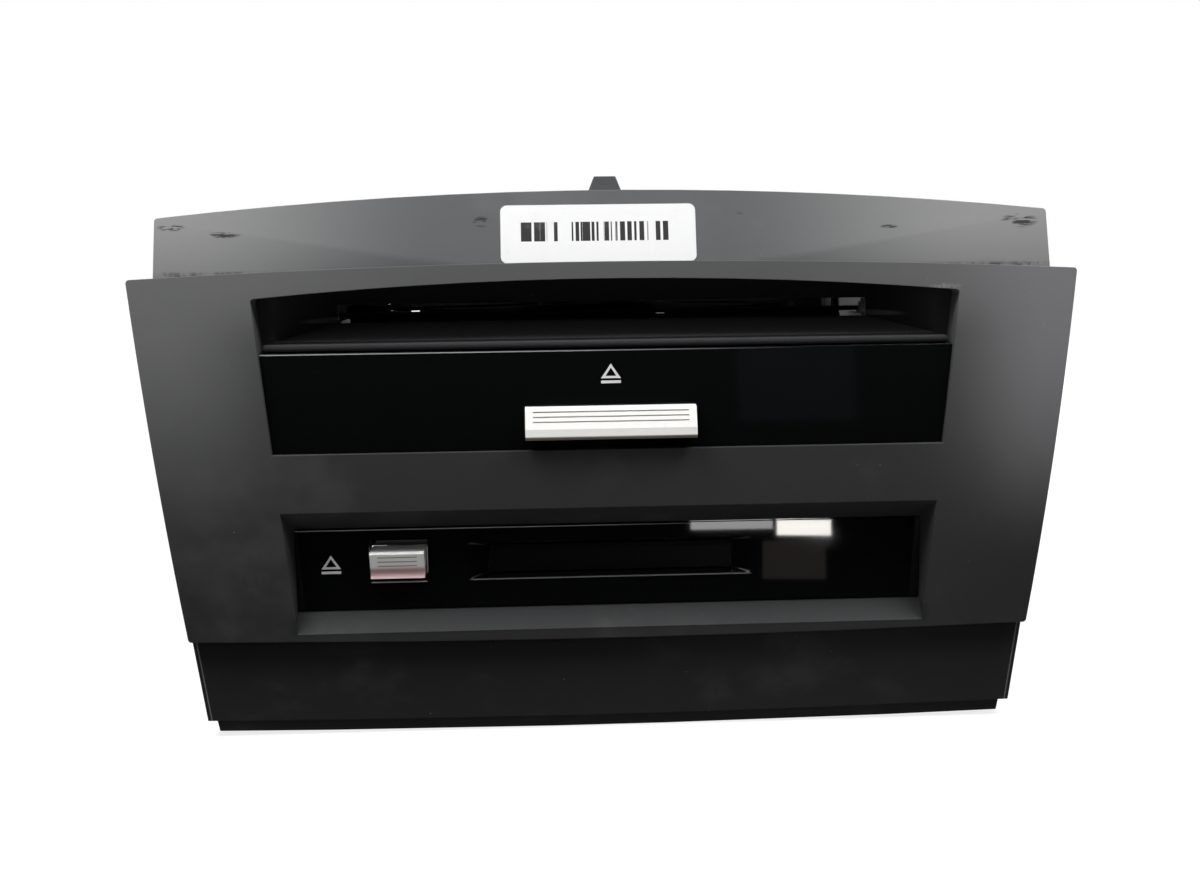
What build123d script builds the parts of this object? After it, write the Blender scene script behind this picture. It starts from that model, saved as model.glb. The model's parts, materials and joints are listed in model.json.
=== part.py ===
from build123d import *
import math
import os

# In-dash disc changer: a moulded bezel and carrier on a sheet-metal changer, with a card reader below.
# Millimetres. Heights are above the surface that the unit stands on. Depths are measured straight
# back from the most forward line of the bezel's crowned face.

# ---- Driving dimensions: front ----
face_top_half = 104.0
face_bottom_half = 95.0
face_bottom = 23.4
face_height = 80.6
face_arch = 2.7
face_sag = 1.3
face_corner = 0.8
crown_radius = 400.0
frame_thickness = 4.8

strip_half = 98.9
strip_height = 12.8
strip_arch = 5.2
strip_lean = 3.6
carrier_foot_half = 92.4
carrier_foot = 4.1
carrier_wall = 2.2
carrier_depth = 17.0
lip_half = 90.3
lip_setback = 1.8
lip_sag = 1.0
lip_flare = 1.0
boss_inset = 3.4
boss_heights = (36.0, 90.0)
boss_radius = 3.2
window_gap = 0.3
tab_top_half = 2.4
tab_base_half = 4.2
tab_height = 4.4

upper_top_half = 77.6
upper_top = 99.5
upper_arch = 3.5
upper_bottom_half = 74.2
upper_bottom = 65.6
sleeve_wall = 1.6
lower_sleeve_wall = 3.8
upper_panel_top = 87.6
panel_gap = 0.25
panel_front = 1.2
panel_skin = 2.0

lower_top_half = 73.1
lower_top = 52.7
lower_bottom_half = 70.5
lower_bottom = 23.5
lower_panel_half = 71.6
lower_panel_low = 28.5
lower_panel_high = 47.5
lower_panel_depth = 8.0
lower_panel_lap = 2.0
lower_panel_thickness = 2.0
lower_panel_rise = 0.5

bar_half = 18.8
bar_low = 68.2
bar_high = 75.2
bar_proud = 3.0
bar_gap = 0.3
bar_back = 2.4
bar_chin = 0.6
bar_chin_height = 0.8
bar_lip_height = 2.4
bar_lip_back = 0.2
bar_crest_drop = 0.6
bar_crest_back = 1.9
bar_top_back = 2.6
bar_inset = 2.0
groove_width = 0.3
groove_depth = 0.25
groove_count = 3
groove_first = 1.0
groove_pitch = 1.05
groove_margin = 1.7
leg_x = 12.0
leg_half = 2.0
leg_reach = 1.2
leaf_half = 8.0
leaf_sheet = 0.3
switch_gap = 2.9
switch_cap = 0.6
switch_cap_radius = 1.5
switch_body_half = 3.0
switch_board_gap = 5.0
switch_post = 24.0
switch_post_radius = 2.0
switch_margin = 3.0
button_x = -48.3
button_half = 6.1
button_low = 36.4
button_high = 42.7
button_proud = 4.6
button_travel = 8.0
button_brow = 0.4
button_brow_height = 0.5
button_slope = 1.2
button_slope_height = 3.8
button_hollow = 1.8
button_hollow_height = 1.2
button_groove_first = 1.3
button_groove_pitch = 1.05
rod_width = 4.0
rod_rise_low = 0.6
rod_rise_high = 3.4
well_half = 6.6
well_wall = 1.0
well_floor_gap = 0.25
button_base_reach = 1.0
well_low = 35.0
well_high = 44.9

card_width = 54.0
card_thickness = 5.0
card_z = 39.4
slot_mouth_half = 32.8
slot_mouth_height = 8.6
slot_mouth_taper = 0.6
slot_mouth_corner = 1.0
slot_margin = 0.9
slot_play = 0.2
tunnel_wall = 1.4
tunnel_length = 7.0
flap_height = 6.8
flap_thickness = 1.0
flap_setback = 3.2
flap_pin = 0.6
flap_pin_drop = 0.9
flap_pin_reach = 1.0
flap_lead = 0.8

label_half = 21.6
label_x = -1.9
label_height = 13.2
label_rise = 2.0
label_corner = 1.5
label_thickness = 0.15

# ---- Driving dimensions: discs and recess ----
disc_radius = 60.0
disc_thickness = 1.2
disc_bottom = 94.6
disc_depth = 112.0
disc_slot_half = 62.6
disc_slot_height = 4.4
recess_nose = 3.0
recess_floor = 89.4
recess_rise = 3.5
recess_back = 24.0
recess_half = 75.5
throat_margin = 0.6
liner_wall = 1.4
liner_half = 82.5
liner_low = 61.0
liner_flange = 2.0

# ---- Driving dimensions: chassis ----
chassis_half = 89.0
chassis_low = 55.0
chassis_height = 61.5
chassis_front = 26.0
chassis_back = 186.0
sheet = 1.0
bracket_sheet = 1.5
bracket_top = 104.0
bracket_back = 160.0
pad_height = 1.0
mount_hole = 2.6
mount_pitch_depth = 80.0
mount_pitch_height = 32.0
mount_depth = 90.0
mount_height = 30.0
stud_radius = 3.0
stud_length = 12.0
stud_tail = 3.0
stud_flange = 8.0
stud_flange_sheet = 2.0
stud_nut_wall = 2.0
bush_radius = 6.5
bush_round = 1.5
screw_radius = 1.4
screw_head_radius = 2.6
screw_head = 1.6
screw_length = 3.3
screw_hole = 1.5
deck_low = 66.8
deck_sheet = 1.2
deck_half = 82.5
deck_front = 29.0
deck_back = 172.0
deck_bore = 24.0
deck_bore_x = -8.0
deck_bore_depth = 100.0
deck_clear = 1.0
damper_radius = 5.0
damper_groove = 1.4
damper_groove_out = 0.6
damper_x = 74.0
damper_depths = (42.0, 160.0)
cover_flange = 8.0
cover_screw_drop = 5.5
cover_screw_depths = (46.0, 150.0)
cover_rib_x = 56.0
cover_rib_width = 3.0
cover_rib_length = 110.0
cover_rib_rise = 0.6
cover_slots = 5
cover_slot_pitch = 9.0
cover_slot_width = 3.0
cover_slot_length = 40.0
vent_depth = 96.0
rear_vent_x = 48.0
rear_vents = 6
rear_vent_pitch = 8.0
rear_vent_width = 3.0
rear_vent_height = 26.0
bracket_screw_z = 84.0
bracket_screw_depths = (50.0, 140.0)
bracket_pad_radius = 5.0
bracket_tab_half = 6.0
bracket_slope = 30.0
bracket_foot_set = 12.0
bracket_notch = 50.0
bracket_tab_reach = 4.0
strap_slot = (40.0, 10.0)
strap_slot_z = 16.0
connector_reach = 5.0
connector_wall = 1.4
connector_floor = 4.0
power_x = (-60.0, -24.0)
power_height = 13.0
contact_count = 8
contact_pitch = 4.0
contact_width = 1.0
contact_height = 5.0
connector_tail = 2.0
optical_x = (-16.0, -2.0)
optical_height = 10.0
coax_x = 14.0
coax_radius = 4.5
coax_wall = 1.0
coax_pin = 0.8
coax_pin_reach = 3.0
stud_z = 90.0
board_standoff = 2.0
board_clear = 4.0
board_post = 2.5
post_inset = 6.0
board_chips = ((-40.0, 150.0, 10.0, 10.0, 2.0), (0.0, 145.0, 14.0, 9.0, 1.6),
               (34.0, 152.0, 8.0, 8.0, 2.2), (48.0, 170.0, 5.0, 5.0, 4.0))

# ---- Driving dimensions: tray stack ----
tray_sheet = 1.0
tray_pitch = 3.2
tray_radius = 61.0
tray_count = 6
playing_tray = 3
split_up = 8.0
split_down = 16.0
cam_travel = 16.0
bar_front_reach = 1.0
bar_back_inset = 7.0
tray_bar = 6.0
tray_bore = 16.0
tray_lane = 13.0
tray_window = (24.0, 14.0)
tray_window_radius = 38.0
tray_window_turn = 55.0
lane_over = 1.0
pin_radius = 0.8
pin_buried = 2.0
pin_proud = 0.4
pin_clearance = 0.15
guide_radius = 1.5
side_frame_x = 83.6
frame_lead = 7.0
frame_rim = 2.0
frame_foot = 5.0
frame_windows = ((62.0, 86.0), (144.0, 156.0))
frame_window_z = (74.0, 108.0)
cam_gap = 0.8
cam_play = 0.2
cam_lead = 3.0
cam_tail = 2.8
cam_stud_depths = (95.0, 135.0)
cam_stud_z = 91.0
cam_stud_head = 2.4
side_clearance = 1.0

# ---- Driving dimensions: gears ----
gear_module = 0.8
rack_teeth = 10
lift_gear_teeth = 15
pinion_teeth = 8
roller_gear_teeth = 15
loading_pinion_teeth = 10
lift_shaft_depth = 110.0
lift_shaft_z = 63.3
lift_gear_x = 50.0
gear_width = 3.0
tooth_tip = 0.7
tooth_tip_half = 0.32
tooth_root_half = 0.8
tooth_buried = 0.6
rack_root_half = 0.75
rack_root = 0.8
rack_spare = 4
rack_ahead = 1.5
shaft_radius = 1.25
bearing_clearance = 0.05
ear_top = 65.6
ear_half = 5.0
shaft_ear_x = 79.0
motor_radius = 5.5
motor_length = 20.0
motor_ear_gap = 1.6
shaft_entry = 4.0
shaft_proud = 1.0

# ---- Driving dimensions: loading roller ----
roller_depth = 35.5
roller_radius = 4.0
roller_waist = 3.4
roller_half = 58.0
roller_grip = 0.1
ear_x = 62.0
ear_sheet = 1.2
ear_rim = 3.0
gear_gap = 1.0
guide_lip_back = 44.0
guide_lip_gap = 0.6
guide_lip_over = 1.0

# ---- Driving dimensions: traverse ----
pivot_x = -72.0
pivot_depth = 66.0
post_radius = 3.0
post_foot = 2.0
post_foot_gap = 0.1
post_rise = 1.2
sleeve_radius = 5.2
sleeve_gap = 0.5
sleeve_rise = 9.0
key_half = 1.0
key_reach = 1.1
key_root = 1.0
key_drop = 3.0
key_play = 0.1
hub_radius = 8.0
hub_height = 7.0
arm_half = 9.5
arm_sheet = 1.5
lift_travel = 4.0
seat_lift = 0.4
seat_to_arm = 7.7
spindle_motor_radius = 10.0
spindle_motor_height = 4.5
spindle_sink = 3.0
spindle_bore = 3.0
turntable_radius = 11.0
turntable_height = 2.2
turntable_hub = 3.6
turntable_gap = 1.0
cone_radius = 7.3
cone_height = 2.0
cone_chamfer = 0.9
spindle_radius = 1.0
rail_front = 17.5
rail_back_gap = 12.0
rail_rise = 2.6
rail_lug = 1.5
rail_lug_half = 2.0
sled_inner = 23.0
sled_half_length = 8.0
sled_half_width = 5.4
sled_height = 5.0
sled_gap = 0.5
sled_play = 0.4
sled_wing = 1.8
sled_wing_half = 5.0
sled_wing_rise = 1.7
lens_radius = 2.5
lens_rise = 0.7
window_front_gap = 1.2
window_back_gap = 2.0
sled_motor_radius = 2.4
sled_motor_length = 8.0
sled_motor_foot = 1.6
screw_lead = 3.5
rail_tail = 0.5
rod_offset = 7.0
rod_radius = 0.9
clamp_sheet = 1.5
clamp_half = 6.0
clamp_end = 1.0
clamp_gap = 2.6
clamp_hub = 7.4
clamp_hub_drop = 0.4
puck_radius = 11.0
puck_bore = 8.2
puck_rim = 1.4
puck_gap = 0.1
puck_play = 0.3
puck_stem = 3.0
puck_cap = 4.6
puck_cap_sheet = 0.9

# ---- Driving dimensions: card reader ----
reader_front = 18.0
reader_back = 112.0
cage_half = 30.0
board_thickness = 1.6
card_board_z = 30.0
card_board_margin = 10.0
card_board_lead = 2.0
card_board_tail = 8.0
card_chips = ((-14.0, 40.0, 8.0, 8.0, 1.4), (10.0, 46.0, 6.0, 10.0, 1.2),
              (12.0, 76.0, 9.0, 6.0, 1.6), (-12.0, 84.0, 5.0, 5.0, 1.2))
capacitor_x = 35.0
capacitor_depth = 60.0
capacitor_radius = 3.0
capacitor_height = 5.0
card_post_inset = 4.0
tray_floor_z = 25.6
module_front = 24.0
module_back = 124.0
module_flange = 12.0
module_screw_sink = 2.0
module_window_x = (50.0, 78.0)
module_window_depth = (38.0, 112.0)
module_screw_depths = (60.0, 110.0)
module_screw_z = 32.0
lever_arm = 25.0
lever_depth = 96.0
lever_z = 45.4
lever_sheet = 1.0
lever_width = 6.0
lever_end = 4.0
lever_hub = 4.5
lever_post = 2.0
lever_pin = 1.0
lever_pin_proud = 0.6
lever_clearance = 0.2
lever_slack = 0.45
rod_tail = 2.0
plate_lead = 8.0
plate_stop_half = 6.0
stop_length = 8.0
rod_ear_depths = (30.0, 84.0)
rod_ear_wall = 2.0
rod_ear_rim = 1.6
rod_play = 0.1
cage_headroom = 2.0
spring_radius = 3.2
spring_wire = 0.5
spring_turns = 6
spring_gap = 0.3
loose = 0.3

# ---- Worked out from the above ----
depth_behind_face = chassis_back + stud_length
face_y = (bar_proud - depth_behind_face) / 2
face_top = face_bottom + face_height
crown_z = face_bottom + face_height / 2
strip_low = face_top + 0.4
strip_top = strip_low + strip_height
chassis_top = chassis_low + chassis_height
inner_half = chassis_half - sheet
slot_low = disc_bottom - (disc_slot_height - disc_thickness) / 2
tray_rest = disc_bottom - 0.1 - tray_sheet
sleeve_end = frame_thickness + carrier_wall
cam_x = side_frame_x + sheet + cam_gap
bracket_x = chassis_half + pad_height
boss_x = bracket_x - boss_inset
lever_pin_top = lever_z + lever_sheet + lever_pin_proud
cover_screw_z = chassis_top - cover_screw_drop
bar_front_depth = disc_depth - tray_radius - bar_front_reach
bar_back_depth = disc_depth + tray_radius - bar_back_inset
deck_top = deck_low + deck_sheet
seat_z = disc_bottom + seat_lift - lift_travel
arm_z = seat_z - seat_to_arm - arm_sheet
arm_reach = math.hypot(pivot_x, disc_depth - pivot_depth)
roller_z = disc_bottom - roller_radius - roller_grip
pinion_radius = gear_module * rack_teeth / 2
rack_line = lift_shaft_z + pinion_radius
card_half = card_width / 2 + loose
bay_high = card_z + card_thickness / 2 + loose
lever_swing = math.degrees(math.atan(button_travel / 2 / lever_arm))
card_board_top = card_board_z + board_thickness
rod_low = card_z + rod_rise_low
rod_high = card_z + rod_rise_high
board_z = chassis_low + sheet + board_standoff
connector_low = board_z + board_thickness
power_top = connector_low + power_height
optical_top = connector_low + optical_height
liner_flange_back = sleeve_end + liner_flange
card_board_half = cage_half + card_board_margin
card_board_back = reader_back + card_board_tail
motor_ear_x = lift_gear_x - motor_ear_gap
motor_face = motor_ear_x - ear_sheet
lift_motor_depth = lift_shaft_depth + gear_module * (lift_gear_teeth + pinion_teeth) / 2
lift_gear_tip = gear_module * (lift_gear_teeth / 2 + tooth_tip)
loading_offset = gear_module * (roller_gear_teeth + loading_pinion_teeth) / 2
roller_gear_x = ear_x + ear_sheet + gear_gap
motor_shaft_z = roller_z - loading_offset
main_board_front = lift_motor_depth + motor_radius + board_clear
main_board_back = chassis_back - sheet - board_standoff
main_board_half = damper_x - damper_radius - board_clear


def back(depth):
    return face_y + depth


def front(depth):
    return Plane(origin=(0, back(depth), 0), x_dir=(1, 0, 0), z_dir=(0, -1, 0))


def block(width, depth, height, mode=Mode.ADD):
    centre = (sum(width) / 2, back(sum(depth) / 2), sum(height) / 2)
    with Locations(centre):
        Box(abs(width[1] - width[0]), abs(depth[1] - depth[0]), abs(height[1] - height[0]), mode=mode)


def rod(axis, place, span, radius, mode=Mode.ADD):
    low, high = min(span), max(span)
    starts = {
        "X": (low, back(place[0]), place[1]),
        "Y": (place[0], back(low), place[1]),
        "Z": (place[0], back(place[1]), low),
    }
    directions = {"X": (1, 0, 0), "Y": (0, 1, 0), "Z": (0, 0, 1)}
    with Locations(Plane(origin=starts[axis], z_dir=directions[axis])):
        Cylinder(radius, high - low, align=(Align.CENTER, Align.CENTER, Align.MIN), mode=mode)


def arched(top_half, top_z, arch, bottom_half, bottom_z, sag=0.0):
    # the top edge rises by arch at its middle, and the bottom edge falls by sag
    with BuildLine() as rim:
        for half, z, bow in ((top_half, top_z, arch), (bottom_half, bottom_z, -sag)):
            if bow:
                ThreePointArc((-half, z), (0, z + bow), (half, z))
            else:
                Line((-half, z), (half, z))
        for side in (-1, 1):
            Line((side * top_half, top_z), (side * bottom_half, bottom_z))
    make_face(rim.edges())


def trapezoid(top_half, top_z, bottom_half, bottom_z):
    Polygon((-top_half, top_z), (top_half, top_z), (bottom_half, bottom_z), (-bottom_half, bottom_z),
            align=None)


def crown(setback=0.0):
    # keeps what lies behind a drum whose axis runs across the unit, far behind the face
    with Locations(Plane(origin=(0, back(crown_radius), crown_z), z_dir=(1, 0, 0))):
        Cylinder(crown_radius - setback, 4 * face_top_half, mode=Mode.INTERSECT)


def gear_outline(teeth, phase, bore):
    pitch_radius = gear_module * teeth / 2
    root = pitch_radius - gear_module
    tip = pitch_radius + tooth_tip * gear_module
    buried = tooth_buried * root
    Circle(root)
    with PolarLocations(0, teeth, start_angle=phase):
        Polygon((buried, -tooth_root_half * gear_module), (root, -tooth_root_half * gear_module),
                (tip, -tooth_tip_half * gear_module), (tip, tooth_tip_half * gear_module),
                (root, tooth_root_half * gear_module), (buried, tooth_root_half * gear_module),
                align=None)
    if bore:
        Circle(bore, mode=Mode.SUBTRACT)


def gear_plane(x, depth, z):
    # x is the near face of a gear that turns about an axis across the unit
    return Plane(origin=(x, back(depth), z), x_dir=(0, 1, 0), z_dir=(1, 0, 0))


pieces = {}

# ---- Bezel ----
with BuildPart() as face_frame:
    with BuildSketch(front(0)) as face_outline:
        arched(face_top_half, face_top, face_arch, face_bottom_half, face_bottom, face_sag)
        fillet(face_outline.vertices(), face_corner)
    extrude(amount=-frame_thickness)
    with BuildSketch(front(frame_thickness)) as upper_sleeve:
        arched(upper_top_half, upper_top, upper_arch, upper_bottom_half, upper_bottom)
        offset(amount=sleeve_wall)
    extrude(amount=-(sleeve_end - frame_thickness))
    with BuildSketch(front(frame_thickness)) as lower_sleeve:
        trapezoid(lower_panel_half, lower_panel_high, lower_panel_half, lower_panel_low)
        offset(amount=lower_sleeve_wall)
    extrude(amount=-(lower_panel_depth - frame_thickness))
    crown()
    with BuildSketch(front(0)) as upper_opening:
        arched(upper_top_half, upper_top, upper_arch, upper_bottom_half, upper_bottom)
        fillet(upper_opening.vertices().group_by(Axis.Y)[-1], face_corner)
    extrude(amount=-sleeve_end, mode=Mode.SUBTRACT)
    with BuildSketch(front(0)) as funnel_mouth:
        trapezoid(lower_top_half, lower_top, lower_bottom_half, lower_bottom)
    with BuildSketch(front(lower_panel_depth)) as funnel_throat:
        trapezoid(lower_panel_half, lower_panel_high, lower_panel_half, lower_panel_low)
    loft(sections=[funnel_mouth.sketch, funnel_throat.sketch], mode=Mode.SUBTRACT)
pieces["face_frame"] = face_frame

# ---- Carrier behind the bezel, with the strips that show above and below it ----
carrier_front = frame_thickness


def carrier_outline(inset=0.0):
    with BuildLine() as rim:
        ThreePointArc((-strip_half + inset, strip_top - inset), (0, strip_top + strip_arch - inset),
                      (strip_half - inset, strip_top - inset))
        Line((strip_half - inset, strip_top - inset), (strip_half - inset, strip_low))
        Line((strip_half - inset, strip_low), (face_bottom_half - inset, face_bottom))
        Line((face_bottom_half - inset, face_bottom), (carrier_foot_half - inset, carrier_foot + inset))
        ThreePointArc((carrier_foot_half - inset, carrier_foot + inset),
                      (0, carrier_foot - lip_sag + inset),
                      (-carrier_foot_half + inset, carrier_foot + inset))
        Line((-carrier_foot_half + inset, carrier_foot + inset), (-face_bottom_half + inset, face_bottom))
        Line((-face_bottom_half + inset, face_bottom), (-strip_half + inset, strip_low))
        Line((-strip_half + inset, strip_low), (-strip_half + inset, strip_top - inset))
    make_face(rim.edges())


with BuildPart() as carrier:
    with BuildSketch(front(carrier_front)) as carrier_face:
        carrier_outline()
        fillet(carrier_face.vertices().group_by(Axis.Y)[-1], face_corner)
    extrude(amount=-(carrier_depth - carrier_front))
    with BuildSketch(front(carrier_front + carrier_wall)):
        carrier_outline(carrier_wall)
    extrude(amount=-carrier_depth, mode=Mode.SUBTRACT)
    # the top strip leans back, and its wall follows it behind
    with BuildSketch(Plane.YZ.offset(-strip_half)):
        with BuildLine():
            Polyline((back(carrier_front + carrier_wall), strip_low),
                     (back(carrier_front + carrier_wall + 2 * strip_lean), strip_low + 2 * strip_height),
                     (back(carrier_front + carrier_wall), strip_low + 2 * strip_height), close=True)
        make_face()
    extrude(amount=2 * strip_half)
    with BuildSketch(front(0)) as strip_keep:
        carrier_outline()
        fillet(strip_keep.vertices().group_by(Axis.Y)[-1], face_corner)
    extrude(amount=-carrier_depth, mode=Mode.INTERSECT)
    with BuildSketch(Plane.YZ.offset(-strip_half)):
        with BuildLine():
            Polyline((back(0), strip_low), (back(carrier_front), strip_low),
                     (back(carrier_front + 2 * strip_lean), strip_low + 2 * strip_height),
                     (back(0), strip_low + 2 * strip_height), close=True)
        make_face()
    extrude(amount=2 * strip_half, mode=Mode.SUBTRACT)
    # foot lip, set back below the bottom strip
    with BuildSketch(front(carrier_front + lip_setback)):
        arched(lip_half + lip_flare, carrier_foot + carrier_wall, 0, lip_half, lip_sag, lip_sag)
    extrude(amount=-carrier_wall)
    for side in (-1, 1):
        for boss_z in boss_heights:
            rod("Y", (side * boss_x, boss_z), (carrier_front + carrier_wall, carrier_depth), boss_radius)
    with BuildSketch(front(0)) as windows:
        arched(upper_top_half, upper_top, upper_arch, upper_bottom_half, upper_bottom)
        offset(amount=sleeve_wall + window_gap)
    extrude(amount=-(carrier_front + carrier_wall), mode=Mode.SUBTRACT)
    with BuildSketch(front(0)) as lower_window:
        trapezoid(lower_panel_half, lower_panel_high, lower_panel_half, lower_panel_low)
        offset(amount=lower_sleeve_wall + window_gap)
    extrude(amount=-(carrier_front + carrier_wall), mode=Mode.SUBTRACT)
    for side in (-1, 1):
        for boss_z in boss_heights:
            rod("Y", (side * boss_x, boss_z), (carrier_depth - screw_length, carrier_depth),
                screw_hole, Mode.SUBTRACT)
    # locating tab on the top wall
    tab_base = strip_top + strip_arch - carrier_wall / 2
    with BuildSketch(front(carrier_depth - carrier_wall)):
        trapezoid(tab_top_half, tab_base + tab_height, tab_base_half, tab_base)
    extrude(amount=-carrier_wall)
pieces["carrier"] = carrier

# ---- Paper label on the top strip ----
lean_angle = math.degrees(math.atan2(strip_lean, strip_height))
label_centre_z = strip_low + strip_height / 2 + label_rise
label_centre_depth = carrier_front + (label_centre_z - strip_low) * strip_lean / strip_height
label_plane = Plane(origin=(label_x, back(label_centre_depth), label_centre_z), x_dir=(1, 0, 0),
                    z_dir=(0, -math.cos(math.radians(lean_angle)), math.sin(math.radians(lean_angle))))
with BuildPart() as part_label:
    with BuildSketch(label_plane):
        RectangleRounded(2 * label_half, label_height, label_corner)
    extrude(amount=label_thickness)
pieces["part_label"] = part_label

# ---- Upper gloss panel ----
panel_side_slope = (upper_top_half - upper_bottom_half) / (upper_top - upper_bottom)
panel_top_half = upper_bottom_half + panel_side_slope * (upper_panel_top - upper_bottom) - panel_gap
with BuildPart() as upper_gloss_panel:
    with BuildSketch(front(0)) as panel_outline:
        trapezoid(panel_top_half, upper_panel_top, upper_bottom_half - panel_gap,
                  upper_bottom + panel_gap)
    extrude(amount=-sleeve_end)
    crown(panel_front)
    with BuildSketch(front(panel_front + 2 * panel_skin)):
        trapezoid(panel_top_half - panel_skin, upper_panel_top - panel_skin,
                  upper_bottom_half - panel_gap - panel_skin, upper_bottom + panel_gap + panel_skin)
    extrude(amount=-sleeve_end, mode=Mode.SUBTRACT)
    block((-bar_half - bar_gap, bar_half + bar_gap), (0, sleeve_end),
          (bar_low - bar_gap, bar_high + bar_gap), Mode.SUBTRACT)
pieces["upper_gloss_panel"] = upper_gloss_panel

# ---- Eject bar, its leaf spring and its switch board ----
switch_tip = sleeve_end + switch_gap
switch_board_depth = sleeve_end + switch_board_gap
crest_z = bar_high - bar_crest_drop
lip_z = bar_low + bar_lip_height
bar_slope = (bar_crest_back - bar_lip_back) / (crest_z - lip_z)
with BuildPart() as eject_bar:
    with BuildSketch(Plane.YZ.offset(-bar_half)):
        with BuildLine():
            Polyline((back(bar_back), bar_low), (back(bar_chin - bar_proud), bar_low),
                     (back(-bar_proud), bar_low + bar_chin_height), (back(bar_lip_back - bar_proud), lip_z),
                     (back(bar_crest_back - bar_proud), crest_z), (back(bar_top_back - bar_proud), bar_high),
                     (back(bar_back), bar_high), close=True)
        make_face()
    extrude(amount=2 * bar_half)
    for index in range(groove_count):
        groove_z = bar_high - groove_first - index * groove_pitch
        skin = bar_crest_back - bar_proud - (crest_z - groove_z) * bar_slope
        block((-bar_half + groove_margin, bar_half - groove_margin), (skin - bar_proud, skin + groove_depth),
              (groove_z - groove_width / 2, groove_z + groove_width / 2), Mode.SUBTRACT)
    for side in (-1, 1):
        block((side * leg_x - leg_half, side * leg_x + leg_half), (bar_back, sleeve_end + leg_reach),
              (bar_low + bar_inset, bar_high - bar_inset))
pieces["eject_bar"] = eject_bar

with BuildPart() as eject_bar_spring:
    with BuildSketch(Plane.XY.offset(bar_low + bar_inset)):
        with BuildLine():
            ThreePointArc((-leaf_half, back(sleeve_end)), (0, back(bar_back)),
                          (leaf_half, back(sleeve_end)))
            Line((leaf_half, back(sleeve_end)), (leaf_half - leaf_sheet, back(sleeve_end)))
            ThreePointArc((leaf_half - leaf_sheet, back(sleeve_end)), (0, back(bar_back + leaf_sheet)),
                          (-leaf_half + leaf_sheet, back(sleeve_end)))
            Line((-leaf_half + leaf_sheet, back(sleeve_end)), (-leaf_half, back(sleeve_end)))
        make_face()
    extrude(amount=bar_high - bar_low - 2 * bar_inset)
pieces["eject_bar_spring"] = eject_bar_spring

bar_middle_z = (bar_low + bar_high) / 2
with BuildPart() as eject_switch:
    block((-switch_post - switch_margin, switch_post + switch_margin),
          (switch_board_depth, switch_board_depth + board_thickness),
          (bar_low - bar_inset, bar_high + bar_inset))
    for side in (-1, 1):
        block((side * leg_x - switch_body_half, side * leg_x + switch_body_half),
              (switch_tip + switch_cap, switch_board_depth),
              (bar_middle_z - switch_body_half, bar_middle_z + switch_body_half))
        rod("Y", (side * leg_x, bar_middle_z), (switch_tip, switch_tip + switch_cap), switch_cap_radius)
pieces["eject_switch"] = eject_switch

# ---- Flocked recess that leads a disc to the slot ----
leg_window_half = leg_x + leg_half + loose + bar_gap
with BuildPart() as recess_liner:
    block((-liner_half, liner_half), (sleeve_end, liner_flange_back), (liner_low, strip_low))
    with BuildSketch(Plane.XY.offset(recess_floor - liner_wall)) as liner_plan:
        with BuildLine():
            Polyline((-recess_half - liner_wall, back(sleeve_end)),
                     (recess_half + liner_wall, back(sleeve_end)),
                     (disc_slot_half + 2 * liner_wall, back(recess_back + liner_wall)),
                     (-disc_slot_half - 2 * liner_wall, back(recess_back + liner_wall)), close=True)
        make_face()
    extrude(amount=upper_top + upper_arch + liner_wall - recess_floor + liner_wall)
    with BuildSketch(Plane.YZ.offset(-recess_half)) as nose_profile:
        with BuildLine():
            Polyline((back(recess_nose), recess_floor - liner_wall),
                     (back(sleeve_end), recess_floor - liner_wall),
                     (back(sleeve_end), recess_floor), (back(recess_nose), recess_floor), close=True)
        make_face()
        fillet(nose_profile.vertices().group_by(Axis.X)[0], 0.45 * liner_wall)
    extrude(amount=2 * recess_half)
    # the hollow: floor rising to the slot, sides drawing in
    with BuildSketch(front(recess_nose + liner_wall)) as mouth:
        trapezoid(recess_half, upper_top + upper_arch, recess_half, recess_floor)
    with BuildSketch(front(recess_back)) as throat:
        trapezoid(disc_slot_half + throat_margin, upper_top + upper_arch,
                  disc_slot_half + throat_margin, recess_floor + recess_rise)
    loft(sections=[mouth.sketch, throat.sketch], mode=Mode.SUBTRACT)
    block((-disc_slot_half, disc_slot_half), (recess_back, recess_back + liner_wall),
          (slot_low, slot_low + disc_slot_height), Mode.SUBTRACT)
    # windows for the bar's two legs, with the leaf spring's seat between them
    for side in (-1, 1):
        block((side * (leaf_half + loose + bar_gap), side * leg_window_half),
              (sleeve_end, liner_flange_back),
              (bar_low + bar_inset / 2, bar_high - bar_inset / 2), Mode.SUBTRACT)
        rod("Y", (side * switch_post, bar_middle_z), (liner_flange_back, switch_board_depth),
            switch_post_radius)
pieces["recess_liner"] = recess_liner

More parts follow.
